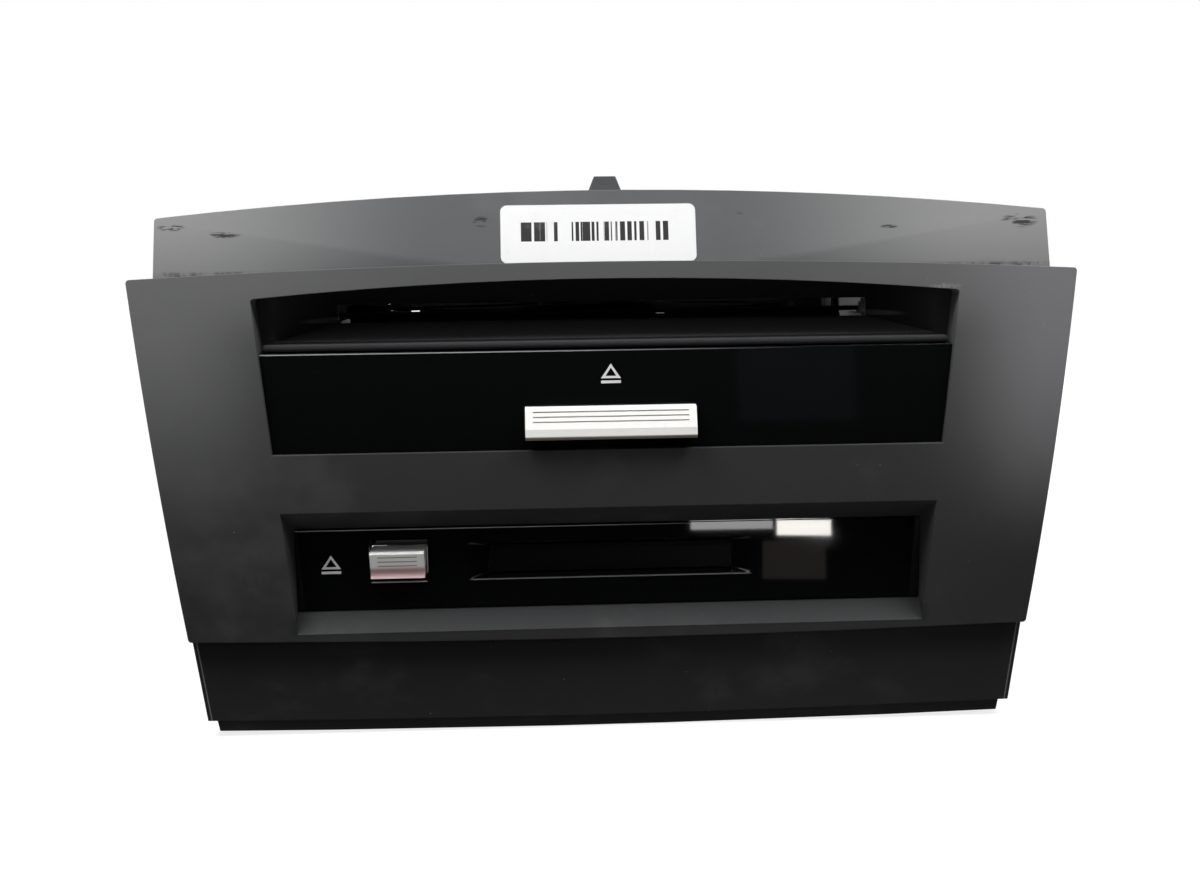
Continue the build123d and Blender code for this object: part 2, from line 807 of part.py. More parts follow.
# ---- Lower gloss panel, card flap and card eject button ----
slot_half = card_half + slot_margin
slot_high = card_z + flap_height / 2 + slot_play
slot_low_card = card_z - flap_height / 2 - slot_play
tunnel_depth = lower_panel_depth + tunnel_length
flap_depth = lower_panel_depth + flap_setback
flap_pin_z = card_z + flap_height / 2 - flap_pin_drop
panel_back = lower_panel_depth + lower_panel_thickness
panel_face = lower_panel_depth - lower_panel_rise
well_floor = panel_back + well_wall
with BuildPart() as lower_gloss_panel:
    with BuildSketch(front(panel_face)):
        trapezoid(lower_panel_half - panel_gap, lower_panel_high - panel_gap,
                  lower_panel_half - panel_gap, lower_panel_low + panel_gap)
    extrude(amount=-lower_panel_rise)
    with BuildSketch(front(lower_panel_depth)):
        trapezoid(lower_panel_half + lower_panel_lap, lower_panel_high + lower_panel_lap,
                  lower_panel_half + lower_panel_lap, lower_panel_low - lower_panel_lap)
    extrude(amount=-lower_panel_thickness)
    block((-slot_mouth_half - tunnel_wall, slot_mouth_half + tunnel_wall), (panel_back, tunnel_depth),
          (slot_low_card - tunnel_wall, slot_high + tunnel_wall))
    with BuildSketch(front(panel_face)) as slot_mouth:
        trapezoid(slot_mouth_half, card_z + slot_mouth_height / 2, slot_mouth_half - slot_mouth_taper,
                  card_z - slot_mouth_height / 2)
        fillet(slot_mouth.vertices(), slot_mouth_corner)
    with BuildSketch(front(flap_depth - flap_lead)) as slot_throat:
        trapezoid(slot_half, slot_high, slot_half, slot_low_card)
        fillet(slot_throat.vertices(), slot_mouth_corner / 2)
    loft(sections=[slot_mouth.sketch, slot_throat.sketch], mode=Mode.SUBTRACT)
    block((-slot_half, slot_half), (flap_depth - flap_lead, tunnel_depth), (slot_low_card, slot_high),
          Mode.SUBTRACT)
    rod("X", (flap_depth, flap_pin_z),
        (-slot_half - flap_pin_reach - slot_play, slot_half + flap_pin_reach + slot_play),
        flap_pin + bearing_clearance, Mode.SUBTRACT)
    # the button's well, closed behind but for the button itself
    block((button_x - well_half, button_x + well_half), (panel_face, panel_back), (well_low, well_high),
          Mode.SUBTRACT)
    block((button_x - well_half - well_wall, button_x + well_half + well_wall), (panel_back, well_floor),
          (well_low - well_wall, well_high + well_wall))
    block((button_x - button_half - well_floor_gap, button_x + button_half + well_floor_gap),
          (panel_back, well_floor), (button_low - well_floor_gap,
                                     button_high + well_floor_gap), Mode.SUBTRACT)
pieces["lower_gloss_panel"] = lower_gloss_panel

flap_half = slot_half - loose
with BuildPart() as card_flap:
    block((-flap_half, flap_half), (flap_depth - flap_thickness / 2, flap_depth + flap_thickness / 2),
          (card_z - flap_height / 2, flap_pin_z))
    rod("X", (flap_depth, flap_pin_z), (-flap_half, flap_half), flap_pin + slot_play)
    rod("X", (flap_depth, flap_pin_z), (-slot_half - flap_pin_reach, slot_half + flap_pin_reach), flap_pin)
pieces["card_flap"] = card_flap

button_front = lower_panel_depth - button_proud
button_base = panel_back + button_base_reach
slope_foot = button_high - button_slope_height
lever_x = button_x + lever_arm
plate_pin_x = lever_x + lever_arm
with BuildPart() as card_button:
    with BuildSketch(Plane.YZ.offset(button_x - button_half)):
        with BuildLine():
            Polyline((back(button_front + button_brow), button_high),
                     (back(button_front), button_high - button_brow_height),
                     (back(button_front + button_slope), slope_foot))
            ThreePointArc((back(button_front + button_slope), slope_foot),
                          (back(button_front + button_hollow), button_low + button_hollow_height),
                          (back(button_front + button_slope), button_low))
            Polyline((back(button_front + button_slope), button_low), (back(button_base), button_low),
                     (back(button_base), button_high), (back(button_front + button_brow), button_high))
        make_face()
    extrude(amount=2 * button_half)
    for index in range(groove_count):
        drop = button_groove_first + index * button_groove_pitch
        skin = button_front + button_slope * (drop - button_brow_height) / (
            button_slope_height - button_brow_height)
        block((button_x - button_half + groove_margin, button_x + button_half - groove_margin),
              (button_front - button_proud, skin + groove_depth),
              (button_high - drop - groove_width / 2, button_high - drop + groove_width / 2), Mode.SUBTRACT)
    block((button_x - rod_width / 2, button_x + rod_width / 2), (button_base, lever_depth + rod_tail),
          (rod_low, rod_high))
    rod("Z", (button_x, lever_depth - button_travel / 2), (rod_high, lever_pin_top), lever_pin)
pieces["card_button"] = card_button

# ---- Card reader under the changer ----
rail_low = card_board_top
cage_top = bay_high + cage_headroom
plate_z = bay_high + loose
plate_slot_half = lever_pin + 2 * lever_clearance
pin_slot_half = button_travel / 2 + lever_pin + lever_pin_proud
with BuildPart() as card_cage:
    for side in (-1, 1):
        block((side * card_half, side * cage_half), (reader_front, reader_back), (rail_low, bay_high))
    block((-cage_half, cage_half), (reader_front, reader_back), (cage_top, cage_top + sheet))
    for side in (-1, 1):
        block((side * (cage_half - sheet), side * cage_half), (reader_front, reader_back),
              (bay_high, cage_top))
    block((-card_half, card_half), (reader_back - stop_length, reader_back), (rail_low, bay_high))
    # guide ears for the eject button's rod
    for ear_depth in rod_ear_depths:
        block((button_x - rod_width / 2 - rod_ear_wall, -cage_half), (ear_depth, ear_depth + sheet),
              (rod_low - rod_ear_wall, rod_high + rod_ear_rim))
        block((button_x - rod_width / 2 - rod_play, button_x + rod_width / 2 + rod_play),
              (ear_depth, ear_depth + sheet), (rod_low - rod_play, rod_high + rod_play), Mode.SUBTRACT)
    # slot for the ejector plate's pin, and the lever's pivot
    block((plate_pin_x - plate_slot_half, plate_pin_x + plate_slot_half),
          (lever_depth - pin_slot_half, lever_depth + pin_slot_half),
          (cage_top, cage_top + sheet), Mode.SUBTRACT)
    rod("Z", (lever_x, lever_depth), (cage_top + sheet, lever_pin_top + lever_clearance), lever_post)
pieces["card_cage"] = card_cage

lever_plane = Plane(origin=(lever_x, back(lever_depth), lever_z), z_dir=(0, 0, 1),
                    x_dir=Vector(1, 0, 0).rotate(Axis.Z, lever_swing))
lever_fit = 2 * (lever_pin + lever_clearance)
with BuildPart() as ejector_lever:
    with BuildSketch(lever_plane):
        SlotOverall(2 * (lever_arm + lever_end), lever_width)
        Circle(lever_hub)
        Circle(lever_post + bearing_clearance, mode=Mode.SUBTRACT)
        with Locations((-lever_arm - lever_slack / 3, 0), (lever_arm + lever_slack / 3, 0)):
            SlotOverall(lever_fit + 2 * lever_slack, lever_fit, mode=Mode.SUBTRACT)
    extrude(amount=lever_sheet)
pieces["ejector_lever"] = ejector_lever

plate_half = cage_half - sheet - loose
plate_back = reader_back - stop_length - sheet
with BuildPart() as ejector_plate:
    block((-plate_half, plate_half), (lever_depth - plate_lead, plate_back), (plate_z, plate_z + sheet))
    block((-plate_stop_half, plate_stop_half), (plate_back - sheet, plate_back), (card_z - sheet, plate_z))
    rod("Z", (plate_pin_x, lever_depth + button_travel / 2), (plate_z + sheet, lever_pin_top), lever_pin)
pieces["ejector_plate"] = ejector_plate

spring_start = button_base + spring_gap
spring_end = rod_ear_depths[0] - spring_gap
with BuildPart() as card_button_spring:
    with BuildLine() as coil:
        Helix((spring_end - spring_start) / spring_turns, spring_end - spring_start, spring_radius,
              center=(button_x, back(spring_start), (rod_low + rod_high) / 2), direction=(0, 1, 0))
    with BuildSketch(Plane(origin=coil.line @ 0, z_dir=coil.line % 0)):
        Circle(spring_wire / 2)
    sweep(path=coil.line)
pieces["card_button_spring"] = card_button_spring

with BuildPart() as card_board:
    block((-card_board_half, card_board_half), (reader_front + card_board_lead, card_board_back),
          (card_board_z, card_board_top))
    for x, depth, half_width, half_depth, height in card_chips:
        block((x - half_width, x + half_width), (depth - half_depth, depth + half_depth),
              (card_board_top, card_board_top + height))
    for side in (-1, 1):
        rod("Z", (side * capacitor_x, capacitor_depth), (card_board_top, card_board_top + capacitor_height),
            capacitor_radius)
pieces["card_board"] = card_board

with BuildPart() as module_tray:
    block((-bracket_x, bracket_x), (module_front, module_back), (tray_floor_z, tray_floor_z + sheet))
    for side in (-1, 1):
        block((side * (bracket_x - sheet), side * bracket_x), (module_front, module_back),
              (tray_floor_z, tray_floor_z + module_flange))
        for depth in module_screw_depths:
            rod("X", (depth, module_screw_z), (side * (bracket_x - module_screw_sink), side * bracket_x),
                screw_hole, Mode.SUBTRACT)
        block((side * module_window_x[0], side * module_window_x[1]), module_window_depth,
              (tray_floor_z, tray_floor_z + sheet), Mode.SUBTRACT)
        for depth in (module_front + board_post, card_board_back - card_post_inset):
            rod("Z", (side * (card_board_half - card_post_inset), depth),
                (tray_floor_z + sheet, card_board_z), board_post)
pieces["module_tray"] = module_tray

# ---- Chassis ----
with BuildPart() as chassis_base:
    block((-chassis_half, chassis_half), (chassis_front, chassis_back), (chassis_low, chassis_low + sheet))
    for side in (-1, 1):
        wall = (side * inner_half, side * chassis_half)
        block(wall, (chassis_front, chassis_back), (chassis_low, chassis_top - sheet))
        for depth in cover_screw_depths:
            rod("X", (depth, cover_screw_z), wall, screw_hole, Mode.SUBTRACT)
        for depth in bracket_screw_depths:
            rod("X", (depth, bracket_screw_z), wall, screw_hole, Mode.SUBTRACT)
        # bearing ears of the lift shaft
        ear = (side * shaft_ear_x, side * (shaft_ear_x + ear_sheet))
        block(ear, (lift_shaft_depth - ear_half, lift_shaft_depth + ear_half),
              (chassis_low + sheet, ear_top))
        rod("X", (lift_shaft_depth, lift_shaft_z), ear, shaft_radius + bearing_clearance, Mode.SUBTRACT)
    block((motor_face, motor_ear_x), (lift_shaft_depth - ear_half, lift_motor_depth + motor_radius),
          (chassis_low + sheet, ear_top))
    for depth in (lift_shaft_depth, lift_motor_depth):
        rod("X", (depth, lift_shaft_z), (motor_face, motor_ear_x),
            shaft_radius + bearing_clearance, Mode.SUBTRACT)
    for side in (-1, 1):
        for depth in (main_board_front + post_inset, main_board_back - post_inset):
            rod("Z", (side * (main_board_half - post_inset), depth), (chassis_low + sheet, board_z),
                board_post)
pieces["chassis_base"] = chassis_base

with BuildPart() as top_cover:
    block((-bracket_x, bracket_x), (chassis_front, chassis_back), (chassis_top - sheet, chassis_top))
    for side in (-1, 1):
        flange = (side * chassis_half, side * bracket_x)
        block(flange, (chassis_front, chassis_back), (chassis_top - cover_flange, chassis_top))
        for depth in cover_screw_depths:
            rod("X", (depth, cover_screw_z), flange, screw_hole, Mode.SUBTRACT)
        with Locations((side * cover_rib_x, back(vent_depth), chassis_top)):
            Box(cover_rib_width, cover_rib_length, 2 * cover_rib_rise)
    with Locations((0, back(vent_depth), chassis_top)):
        with GridLocations(cover_slot_pitch, 0, cover_slots, 1):
            Box(cover_slot_width, cover_slot_length, 3 * sheet, mode=Mode.SUBTRACT)
pieces["top_cover"] = top_cover

with BuildPart() as rear_panel:
    rear_wall = (chassis_back - sheet, chassis_back)
    block((-inner_half, inner_half), rear_wall, (chassis_low + sheet, chassis_top - sheet))
    for span, top in ((power_x, power_top), (optical_x, optical_top)):
        block((span[0] - loose, span[1] + loose), rear_wall, (connector_low - loose, top + loose),
              Mode.SUBTRACT)
    rod("Y", (coax_x, connector_low + coax_radius), rear_wall, coax_radius + loose, Mode.SUBTRACT)
    rod("Y", (0, stud_z), rear_wall, stud_radius + bearing_clearance, Mode.SUBTRACT)
    for side in (-1, 1):
        with Locations((side * rear_vent_x, back(chassis_back - sheet / 2), stud_z)):
            with GridLocations(rear_vent_pitch, 0, rear_vents, 1):
                Box(rear_vent_width, sheet, rear_vent_height, mode=Mode.SUBTRACT)
pieces["rear_panel"] = rear_panel

with BuildPart() as rear_stud:
    rod("Y", (0, stud_z), (chassis_back - stud_tail, chassis_back + stud_length), stud_radius)
    rod("Y", (0, stud_z), (chassis_back, chassis_back + stud_flange_sheet), stud_flange)
    rod("Y", (0, stud_z), (chassis_back - stud_tail, chassis_back - sheet), stud_radius + stud_nut_wall)
pieces["rear_stud"] = rear_stud

with BuildPart() as stud_bush:
    bush_span = (chassis_back + stud_flange_sheet, chassis_back + stud_length)
    rod("Y", (0, stud_z), bush_span, bush_radius)
    rod("Y", (0, stud_z), bush_span, stud_radius, Mode.SUBTRACT)
    bush_rims = stud_bush.edges().filter_by(GeomType.CIRCLE).group_by(Axis.Y)[-1]
    fillet(bush_rims.sort_by(SortBy.RADIUS)[-1:], bush_round)
pieces["stud_bush"] = stud_bush

plate_inner = chassis_front + sheet
guide_z = slot_low + disc_slot_height + guide_lip_gap
with BuildPart() as front_plate:
    block((-inner_half, inner_half), (chassis_front, plate_inner),
          (chassis_low + sheet, chassis_top - sheet))
    block((-disc_slot_half, disc_slot_half), (chassis_front, plate_inner),
          (slot_low, slot_low + disc_slot_height), Mode.SUBTRACT)
    # bent lip that guides a disc from above
    block((-disc_radius - guide_lip_over, disc_radius + guide_lip_over), (plate_inner, guide_lip_back),
          (guide_z, guide_z + sheet))
    # ears that carry the roller and its motor
    for side in (-1, 1):
        ear = (side * ear_x, side * (ear_x + ear_sheet))
        block(ear, (plate_inner, roller_depth + ear_half), (motor_shaft_z - 2 * ear_rim, roller_z + ear_rim))
        rod("X", (roller_depth, roller_z), ear, shaft_radius + bearing_clearance, Mode.SUBTRACT)
    rod("X", (roller_depth, motor_shaft_z), (ear_x, ear_x + ear_sheet),
        shaft_radius + bearing_clearance, Mode.SUBTRACT)
pieces["front_plate"] = front_plate


def make_bracket(side):
    outer = side * (bracket_x + bracket_sheet)
    with BuildPart() as bracket:
        with BuildSketch(Plane.YZ.offset(side * bracket_x)) as flank:
            with BuildLine():
                Polyline((back(carrier_depth), bracket_foot_set),
                         (back(carrier_depth + bracket_foot_set), 0),
                         (back(bracket_back - bracket_slope), 0), (back(bracket_back), bracket_notch),
                         (back(bracket_back), bracket_top), (back(carrier_depth), bracket_top), close=True)
            make_face()
            with Locations((back(mount_depth), strap_slot_z)):
                SlotOverall(*strap_slot, mode=Mode.SUBTRACT)
        extrude(amount=side * bracket_sheet)
        for boss_z in boss_heights:
            block((side * (boss_x - bracket_tab_reach), outer),
                  (carrier_depth, carrier_depth + bracket_sheet),
                  (boss_z - bracket_tab_half, boss_z + bracket_tab_half))
            rod("Y", (side * boss_x, boss_z), (carrier_depth, carrier_depth + bracket_sheet),
                screw_hole, Mode.SUBTRACT)
        for depth in bracket_screw_depths:
            rod("X", (depth, bracket_screw_z), (side * chassis_half, side * bracket_x),
                bracket_pad_radius)
            rod("X", (depth, bracket_screw_z), (side * chassis_half, outer), screw_hole, Mode.SUBTRACT)
        for depth in module_screw_depths:
            rod("X", (depth, module_screw_z), (side * bracket_x, outer), screw_hole, Mode.SUBTRACT)
        for depth in (mount_depth - mount_pitch_depth / 2, mount_depth + mount_pitch_depth / 2):
            for z in (mount_height - mount_pitch_height / 2, mount_height + mount_pitch_height / 2):
                rod("X", (depth, z), (side * chassis_half, outer), mount_hole, Mode.SUBTRACT)
    return bracket


pieces["bracket_left"] = make_bracket(-1)
pieces["bracket_right"] = make_bracket(1)


def screw(axis, place, head_face, direction):
    # head_face is the plane under the head, and the shank runs in the given direction
    rod(axis, place, (head_face, head_face + direction * screw_length), screw_radius)
    rod(axis, place, (head_face - direction * screw_head, head_face), screw_head_radius)


with BuildPart() as screws:
    for side in (-1, 1):
        for depth in cover_screw_depths:
            screw("X", (depth, cover_screw_z), side * bracket_x, -side)
        for depth in bracket_screw_depths:
            screw("X", (depth, bracket_screw_z), side * (bracket_x + bracket_sheet), -side)
        for depth in module_screw_depths:
            screw("X", (depth, module_screw_z), side * (bracket_x + bracket_sheet), -side)
        for boss_z in boss_heights:
            screw("Y", (side * boss_x, boss_z), carrier_depth + bracket_sheet, -1)
pieces["screws"] = screws

with BuildPart() as dampers:
    for side in (-1, 1):
        for depth in damper_depths:
            rod("Z", (side * damper_x, depth), (chassis_low + sheet, deck_low), damper_radius)
            with Locations((side * damper_x, back(depth), (chassis_low + sheet + deck_low) / 2)):
                Torus(damper_radius + damper_groove_out, damper_groove, mode=Mode.SUBTRACT)
pieces["dampers"] = dampers

with BuildPart() as inner_deck:
    block((-deck_half, deck_half), (deck_front, deck_back), (deck_low, deck_top))
    block((lift_gear_x - 2 * deck_clear, lift_gear_x + gear_width + 2 * deck_clear),
          (lift_shaft_depth - lift_gear_tip - 2 * deck_clear, lift_motor_depth + motor_radius + deck_clear),
          (deck_low, deck_top), Mode.SUBTRACT)
    block((motor_face - motor_length - deck_clear, lift_gear_x),
          (lift_motor_depth - motor_radius - deck_clear, lift_motor_depth + motor_radius + deck_clear),
          (deck_low, deck_top), Mode.SUBTRACT)
    rod("Z", (deck_bore_x, deck_bore_depth), (deck_low, deck_top), deck_bore, Mode.SUBTRACT)
pieces["inner_deck"] = inner_deck

with BuildPart() as main_board:
    block((-main_board_half, main_board_half), (main_board_front, main_board_back),
          (board_z, connector_low))
    for x, depth, half_width, half_depth, height in board_chips:
        block((x - half_width, x + half_width), (depth - half_depth, depth + half_depth),
              (connector_low, connector_low + height))
pieces["main_board"] = main_board

connector_floor_depth = chassis_back - connector_floor
connector_front = chassis_back + connector_reach
with BuildPart() as rear_connectors:
    for span, top in ((power_x, power_top), (optical_x, optical_top)):
        block(span, (deck_back + connector_tail, connector_front), (connector_low, top))
        block((span[0] + connector_wall, span[1] - connector_wall), (connector_floor_depth, connector_front),
              (connector_low + connector_wall, top - connector_wall), Mode.SUBTRACT)
    with Locations((sum(power_x) / 2, back(chassis_back - connector_floor / 2),
                    (connector_low + power_top) / 2)):
        with GridLocations(contact_pitch, 0, contact_count, 1):
            Box(contact_width, connector_floor, contact_height)
    coax_place = (coax_x, connector_low + coax_radius)
    rod("Y", coax_place, (deck_back + connector_tail, connector_front), coax_radius)
    rod("Y", coax_place, (connector_floor_depth, connector_front), coax_radius - coax_wall, Mode.SUBTRACT)
    rod("Y", coax_place, (connector_floor_depth, chassis_back + coax_pin_reach), coax_pin)
pieces["rear_connectors"] = rear_connectors

# ---- Tray stack: side frames, cam plates and trays ----


def rise(number):
    # how far a tray stands above its place in the closed stack while the stack is split
    if number > playing_tray:
        return split_up
    return -split_down if number < playing_tray else 0.0


def closed_z(number):
    return tray_rest + (number - playing_tray) * tray_pitch


def split_z(number):
    return closed_z(number) + rise(number)


lowest_pin = split_z(1) + tray_sheet / 2
highest_pin = split_z(tray_count) + tray_sheet / 2
slot_half_width = pin_radius + pin_clearance
frame_top = highest_pin + frame_rim


def make_frame(side):
    wall = (side * side_frame_x, side * (side_frame_x + sheet))
    frame_span = (bar_front_depth - frame_lead, deck_back)
    cam_face = side * (cam_x + sheet + cam_play)
    with BuildPart() as frame:
        block(wall, frame_span, (deck_top, frame_top))
        block((side * (deck_half - frame_foot), wall[0]), frame_span, (deck_top, deck_top + sheet))
        for depth in (bar_front_depth, bar_back_depth):
            block(wall, (depth - slot_half_width, depth + slot_half_width),
                  (lowest_pin - slot_half_width - pin_clearance,
                   highest_pin + slot_half_width + pin_clearance),
                  Mode.SUBTRACT)
        for window in frame_windows:
            block(wall, window, frame_window_z, Mode.SUBTRACT)
        for depth in cam_stud_depths:
            rod("X", (depth, cam_stud_z), (wall[1], cam_face), guide_radius)
            rod("X", (depth, cam_stud_z), (cam_face, side * (cam_x + 2 * sheet)), cam_stud_head)
    return frame


def make_cam(side):
    sketch_plane = Plane.YZ.offset(min(side * cam_x, side * (cam_x + sheet)))
    rack_pitch = math.pi * gear_module
    root_z = rack_line + rack_root * gear_module
    tip_z = rack_line - tooth_tip * gear_module
    with BuildPart() as cam:
        block((side * cam_x, side * (cam_x + sheet)),
              (bar_front_depth - cam_travel - cam_lead, bar_back_depth + cam_tail), (root_z, frame_top))
        for number in range(1, tray_count + 1):
            top = split_z(number) + tray_sheet / 2
            low = closed_z(number) + tray_sheet / 2
            for depth in (bar_front_depth, bar_back_depth):
                with BuildSketch(sketch_plane):
                    SlotCenterPoint((back(depth - cam_travel / 2), (top + low) / 2),
                                    (back(depth), top), 2 * slot_half_width)
                extrude(amount=sheet, mode=Mode.SUBTRACT)
        for depth in cam_stud_depths:
            with BuildSketch(sketch_plane):
                SlotCenterPoint((back(depth - cam_travel / 2), cam_stud_z), (back(depth), cam_stud_z),
                                2 * (guide_radius + pin_clearance))
            extrude(amount=sheet, mode=Mode.SUBTRACT)
        # rack along the bottom edge
        for index in range(int(cam_travel / rack_pitch) + rack_spare):
            middle = back(lift_shaft_depth + (rack_ahead - index) * rack_pitch)
            with BuildSketch(sketch_plane):
                with BuildLine():
                    Polyline((middle - rack_root_half * gear_module, root_z),
                             (middle - tooth_tip_half * gear_module, tip_z),
                             (middle + tooth_tip_half * gear_module, tip_z),
                             (middle + rack_root_half * gear_module, root_z), close=True)
                make_face()
            extrude(amount=sheet)
    return cam


for name, side in (("left", -1), ("right", 1)):
    pieces[f"side_frame_{name}"] = make_frame(side)
    pieces[f"cam_plate_{name}"] = make_cam(side)

arm_angle = math.degrees(math.atan2(disc_depth - pivot_depth, -pivot_x))


def make_tray(number):
    z = split_z(number)
    end = side_frame_x - side_clearance
    with BuildPart() as tray:
        with BuildSketch(Plane.XY.offset(z)):
            with Locations((0, back(disc_depth))):
                Circle(tray_radius)
            for depth in (bar_front_depth, bar_back_depth):
                with Locations((0, back(depth))):
                    Rectangle(2 * end, tray_bar)
            with Locations((0, back(disc_depth))):
                Circle(tray_bore, mode=Mode.SUBTRACT)
                with PolarLocations(tray_window_radius, 3, start_angle=arm_angle - tray_window_turn):
                    SlotOverall(*tray_window, mode=Mode.SUBTRACT)
            # lane that the playing arm swings in through
            with Locations(Location((0, back(disc_depth), 0), (0, 0, arm_angle + 180))):
                with Locations((tray_radius / 2 + lane_over, 0)):
                    Rectangle(tray_radius + 2 * lane_over, tray_lane, mode=Mode.SUBTRACT)
        extrude(amount=tray_sheet)
        for side in (-1, 1):
            for depth in (bar_front_depth, bar_back_depth):
                rod("X", (depth, z + tray_sheet / 2),
                    (side * (end - pin_buried), side * (cam_x + sheet + pin_proud)), pin_radius)
    return tray


for number in range(1, tray_count + 1):
    pieces[f"tray_{number}"] = make_tray(number)

# ---- Lift drive ----
with BuildPart() as lift_shaft:
    rod("X", (lift_shaft_depth, lift_shaft_z), (-cam_x - sheet, cam_x + sheet), shaft_radius)
    for x in (-cam_x - sheet - cam_play, cam_x - cam_play):
        with BuildSketch(gear_plane(x, lift_shaft_depth, lift_shaft_z)):
            gear_outline(rack_teeth, 90, 0)
        extrude(amount=sheet + 2 * cam_play)
pieces["lift_shaft"] = lift_shaft

with BuildPart() as lift_gear:
    with BuildSketch(gear_plane(lift_gear_x, lift_shaft_depth, lift_shaft_z)):
        gear_outline(lift_gear_teeth, 0, shaft_radius)
    extrude(amount=gear_width)
pieces["lift_gear"] = lift_gear

with BuildPart() as lift_pinion:
    with BuildSketch(gear_plane(lift_gear_x, lift_motor_depth, lift_shaft_z)):
        gear_outline(pinion_teeth, 180 + 180 / pinion_teeth, 0)
    extrude(amount=gear_width)
    rod("X", (lift_motor_depth, lift_shaft_z), (motor_ear_x - shaft_entry, lift_gear_x), shaft_radius)
pieces["lift_pinion"] = lift_pinion

with BuildPart() as lift_motor:
    rod("X", (lift_motor_depth, lift_shaft_z), (motor_face - motor_length, motor_face), motor_radius)
    rod("X", (lift_motor_depth, lift_shaft_z), (motor_face - shaft_entry, motor_face),
        shaft_radius + bearing_clearance, Mode.SUBTRACT)
pieces["lift_motor"] = lift_motor

# ---- Loading roller and its drive ----
with BuildPart() as loading_roller:
    with BuildSketch(Plane.XY.offset(roller_z)):
        with BuildLine():
            Line((-roller_half, back(roller_depth)), (-roller_half, back(roller_depth) + roller_radius))
            ThreePointArc((-roller_half, back(roller_depth) + roller_radius),
                          (0, back(roller_depth) + roller_waist),
                          (roller_half, back(roller_depth) + roller_radius))
            Line((roller_half, back(roller_depth) + roller_radius), (roller_half, back(roller_depth)))
            Line((roller_half, back(roller_depth)), (-roller_half, back(roller_depth)))
        make_face()
    revolve(axis=Axis((0, back(roller_depth), roller_z), (1, 0, 0)))
    rod("X", (roller_depth, roller_z),
        (-ear_x - ear_sheet - shaft_proud, roller_gear_x + gear_width + shaft_proud), shaft_radius)
pieces["loading_roller"] = loading_roller

with BuildPart() as roller_gear:
    with BuildSketch(gear_plane(roller_gear_x, roller_depth, roller_z)):
        gear_outline(roller_gear_teeth, -90, shaft_radius)
    extrude(amount=gear_width)
pieces["roller_gear"] = roller_gear

with BuildPart() as loading_pinion:
    with BuildSketch(gear_plane(roller_gear_x, roller_depth, motor_shaft_z)):
        gear_outline(loading_pinion_teeth, 90 + 180 / loading_pinion_teeth, 0)
    extrude(amount=gear_width)
    rod("X", (roller_depth, motor_shaft_z), (ear_x - shaft_entry, roller_gear_x), shaft_radius)
pieces["loading_pinion"] = loading_pinion

with BuildPart() as loading_motor:
    rod("X", (roller_depth, motor_shaft_z), (ear_x - motor_length, ear_x), motor_radius)
    rod("X", (roller_depth, motor_shaft_z), (ear_x - shaft_entry, ear_x),
        shaft_radius + bearing_clearance, Mode.SUBTRACT)
pieces["loading_motor"] = loading_motor

# ---- Traverse: swing sleeve, lifting arm, spindle and pickup ----
sleeve_low = deck_top + sleeve_gap
sleeve_top = disc_bottom + sleeve_rise
clamp_z = disc_bottom + disc_thickness + seat_lift + clamp_gap
pivot = (pivot_x, pivot_depth)


def along(distance):
    # depth of a point on the parked arm, at a distance from its pivot
    return pivot_depth + distance


spindle = (pivot_x, along(arm_reach))
with BuildPart() as pivot_post:
    rod("Z", pivot, (deck_top, sleeve_top + post_rise), post_radius)
    rod("Z", pivot, (deck_top, sleeve_low - post_foot_gap), post_radius + post_foot)
pieces["pivot_post"] = pivot_post

with BuildPart() as swing_sleeve:
    rod("Z", pivot, (sleeve_low, sleeve_top), sleeve_radius)
    block((pivot_x - key_half, pivot_x + key_half),
          (along(sleeve_radius - key_root), along(sleeve_radius + key_reach)),
          (arm_z - key_drop, arm_z + hub_height + lift_travel + key_root))
    rod("Z", pivot, (sleeve_low, sleeve_top), post_radius + bearing_clearance, Mode.SUBTRACT)
pieces["swing_sleeve"] = swing_sleeve

clamp_top = clamp_z + clamp_sheet
with BuildPart() as clamp_arm:
    rod("Z", pivot, (clamp_z, sleeve_top - clamp_hub_drop), clamp_hub)
    block((pivot_x - clamp_half, pivot_x + clamp_half), (along(0), along(arm_reach)), (clamp_z, clamp_top))
    rod("Z", spindle, (clamp_z, clamp_top), clamp_half + clamp_end)
    rod("Z", spindle, (clamp_z, clamp_top), puck_stem + bearing_clearance, Mode.SUBTRACT)
    rod("Z", pivot, (clamp_z, sleeve_top), sleeve_radius, Mode.SUBTRACT)
pieces["clamp_arm"] = clamp_arm

puck_low = disc_bottom + disc_thickness + seat_lift + puck_gap
puck_top = clamp_z - puck_play
cap_low = clamp_top + puck_play
with BuildPart() as clamp_puck:
    rod("Z", spindle, (puck_low, puck_top), puck_radius)
    rod("Z", spindle, (puck_low, puck_low + puck_rim), puck_bore, Mode.SUBTRACT)
    rod("Z", spindle, (puck_top, cap_low), puck_stem)
    rod("Z", spindle, (cap_low, cap_low + puck_cap_sheet), puck_cap)
pieces["clamp_puck"] = clamp_puck

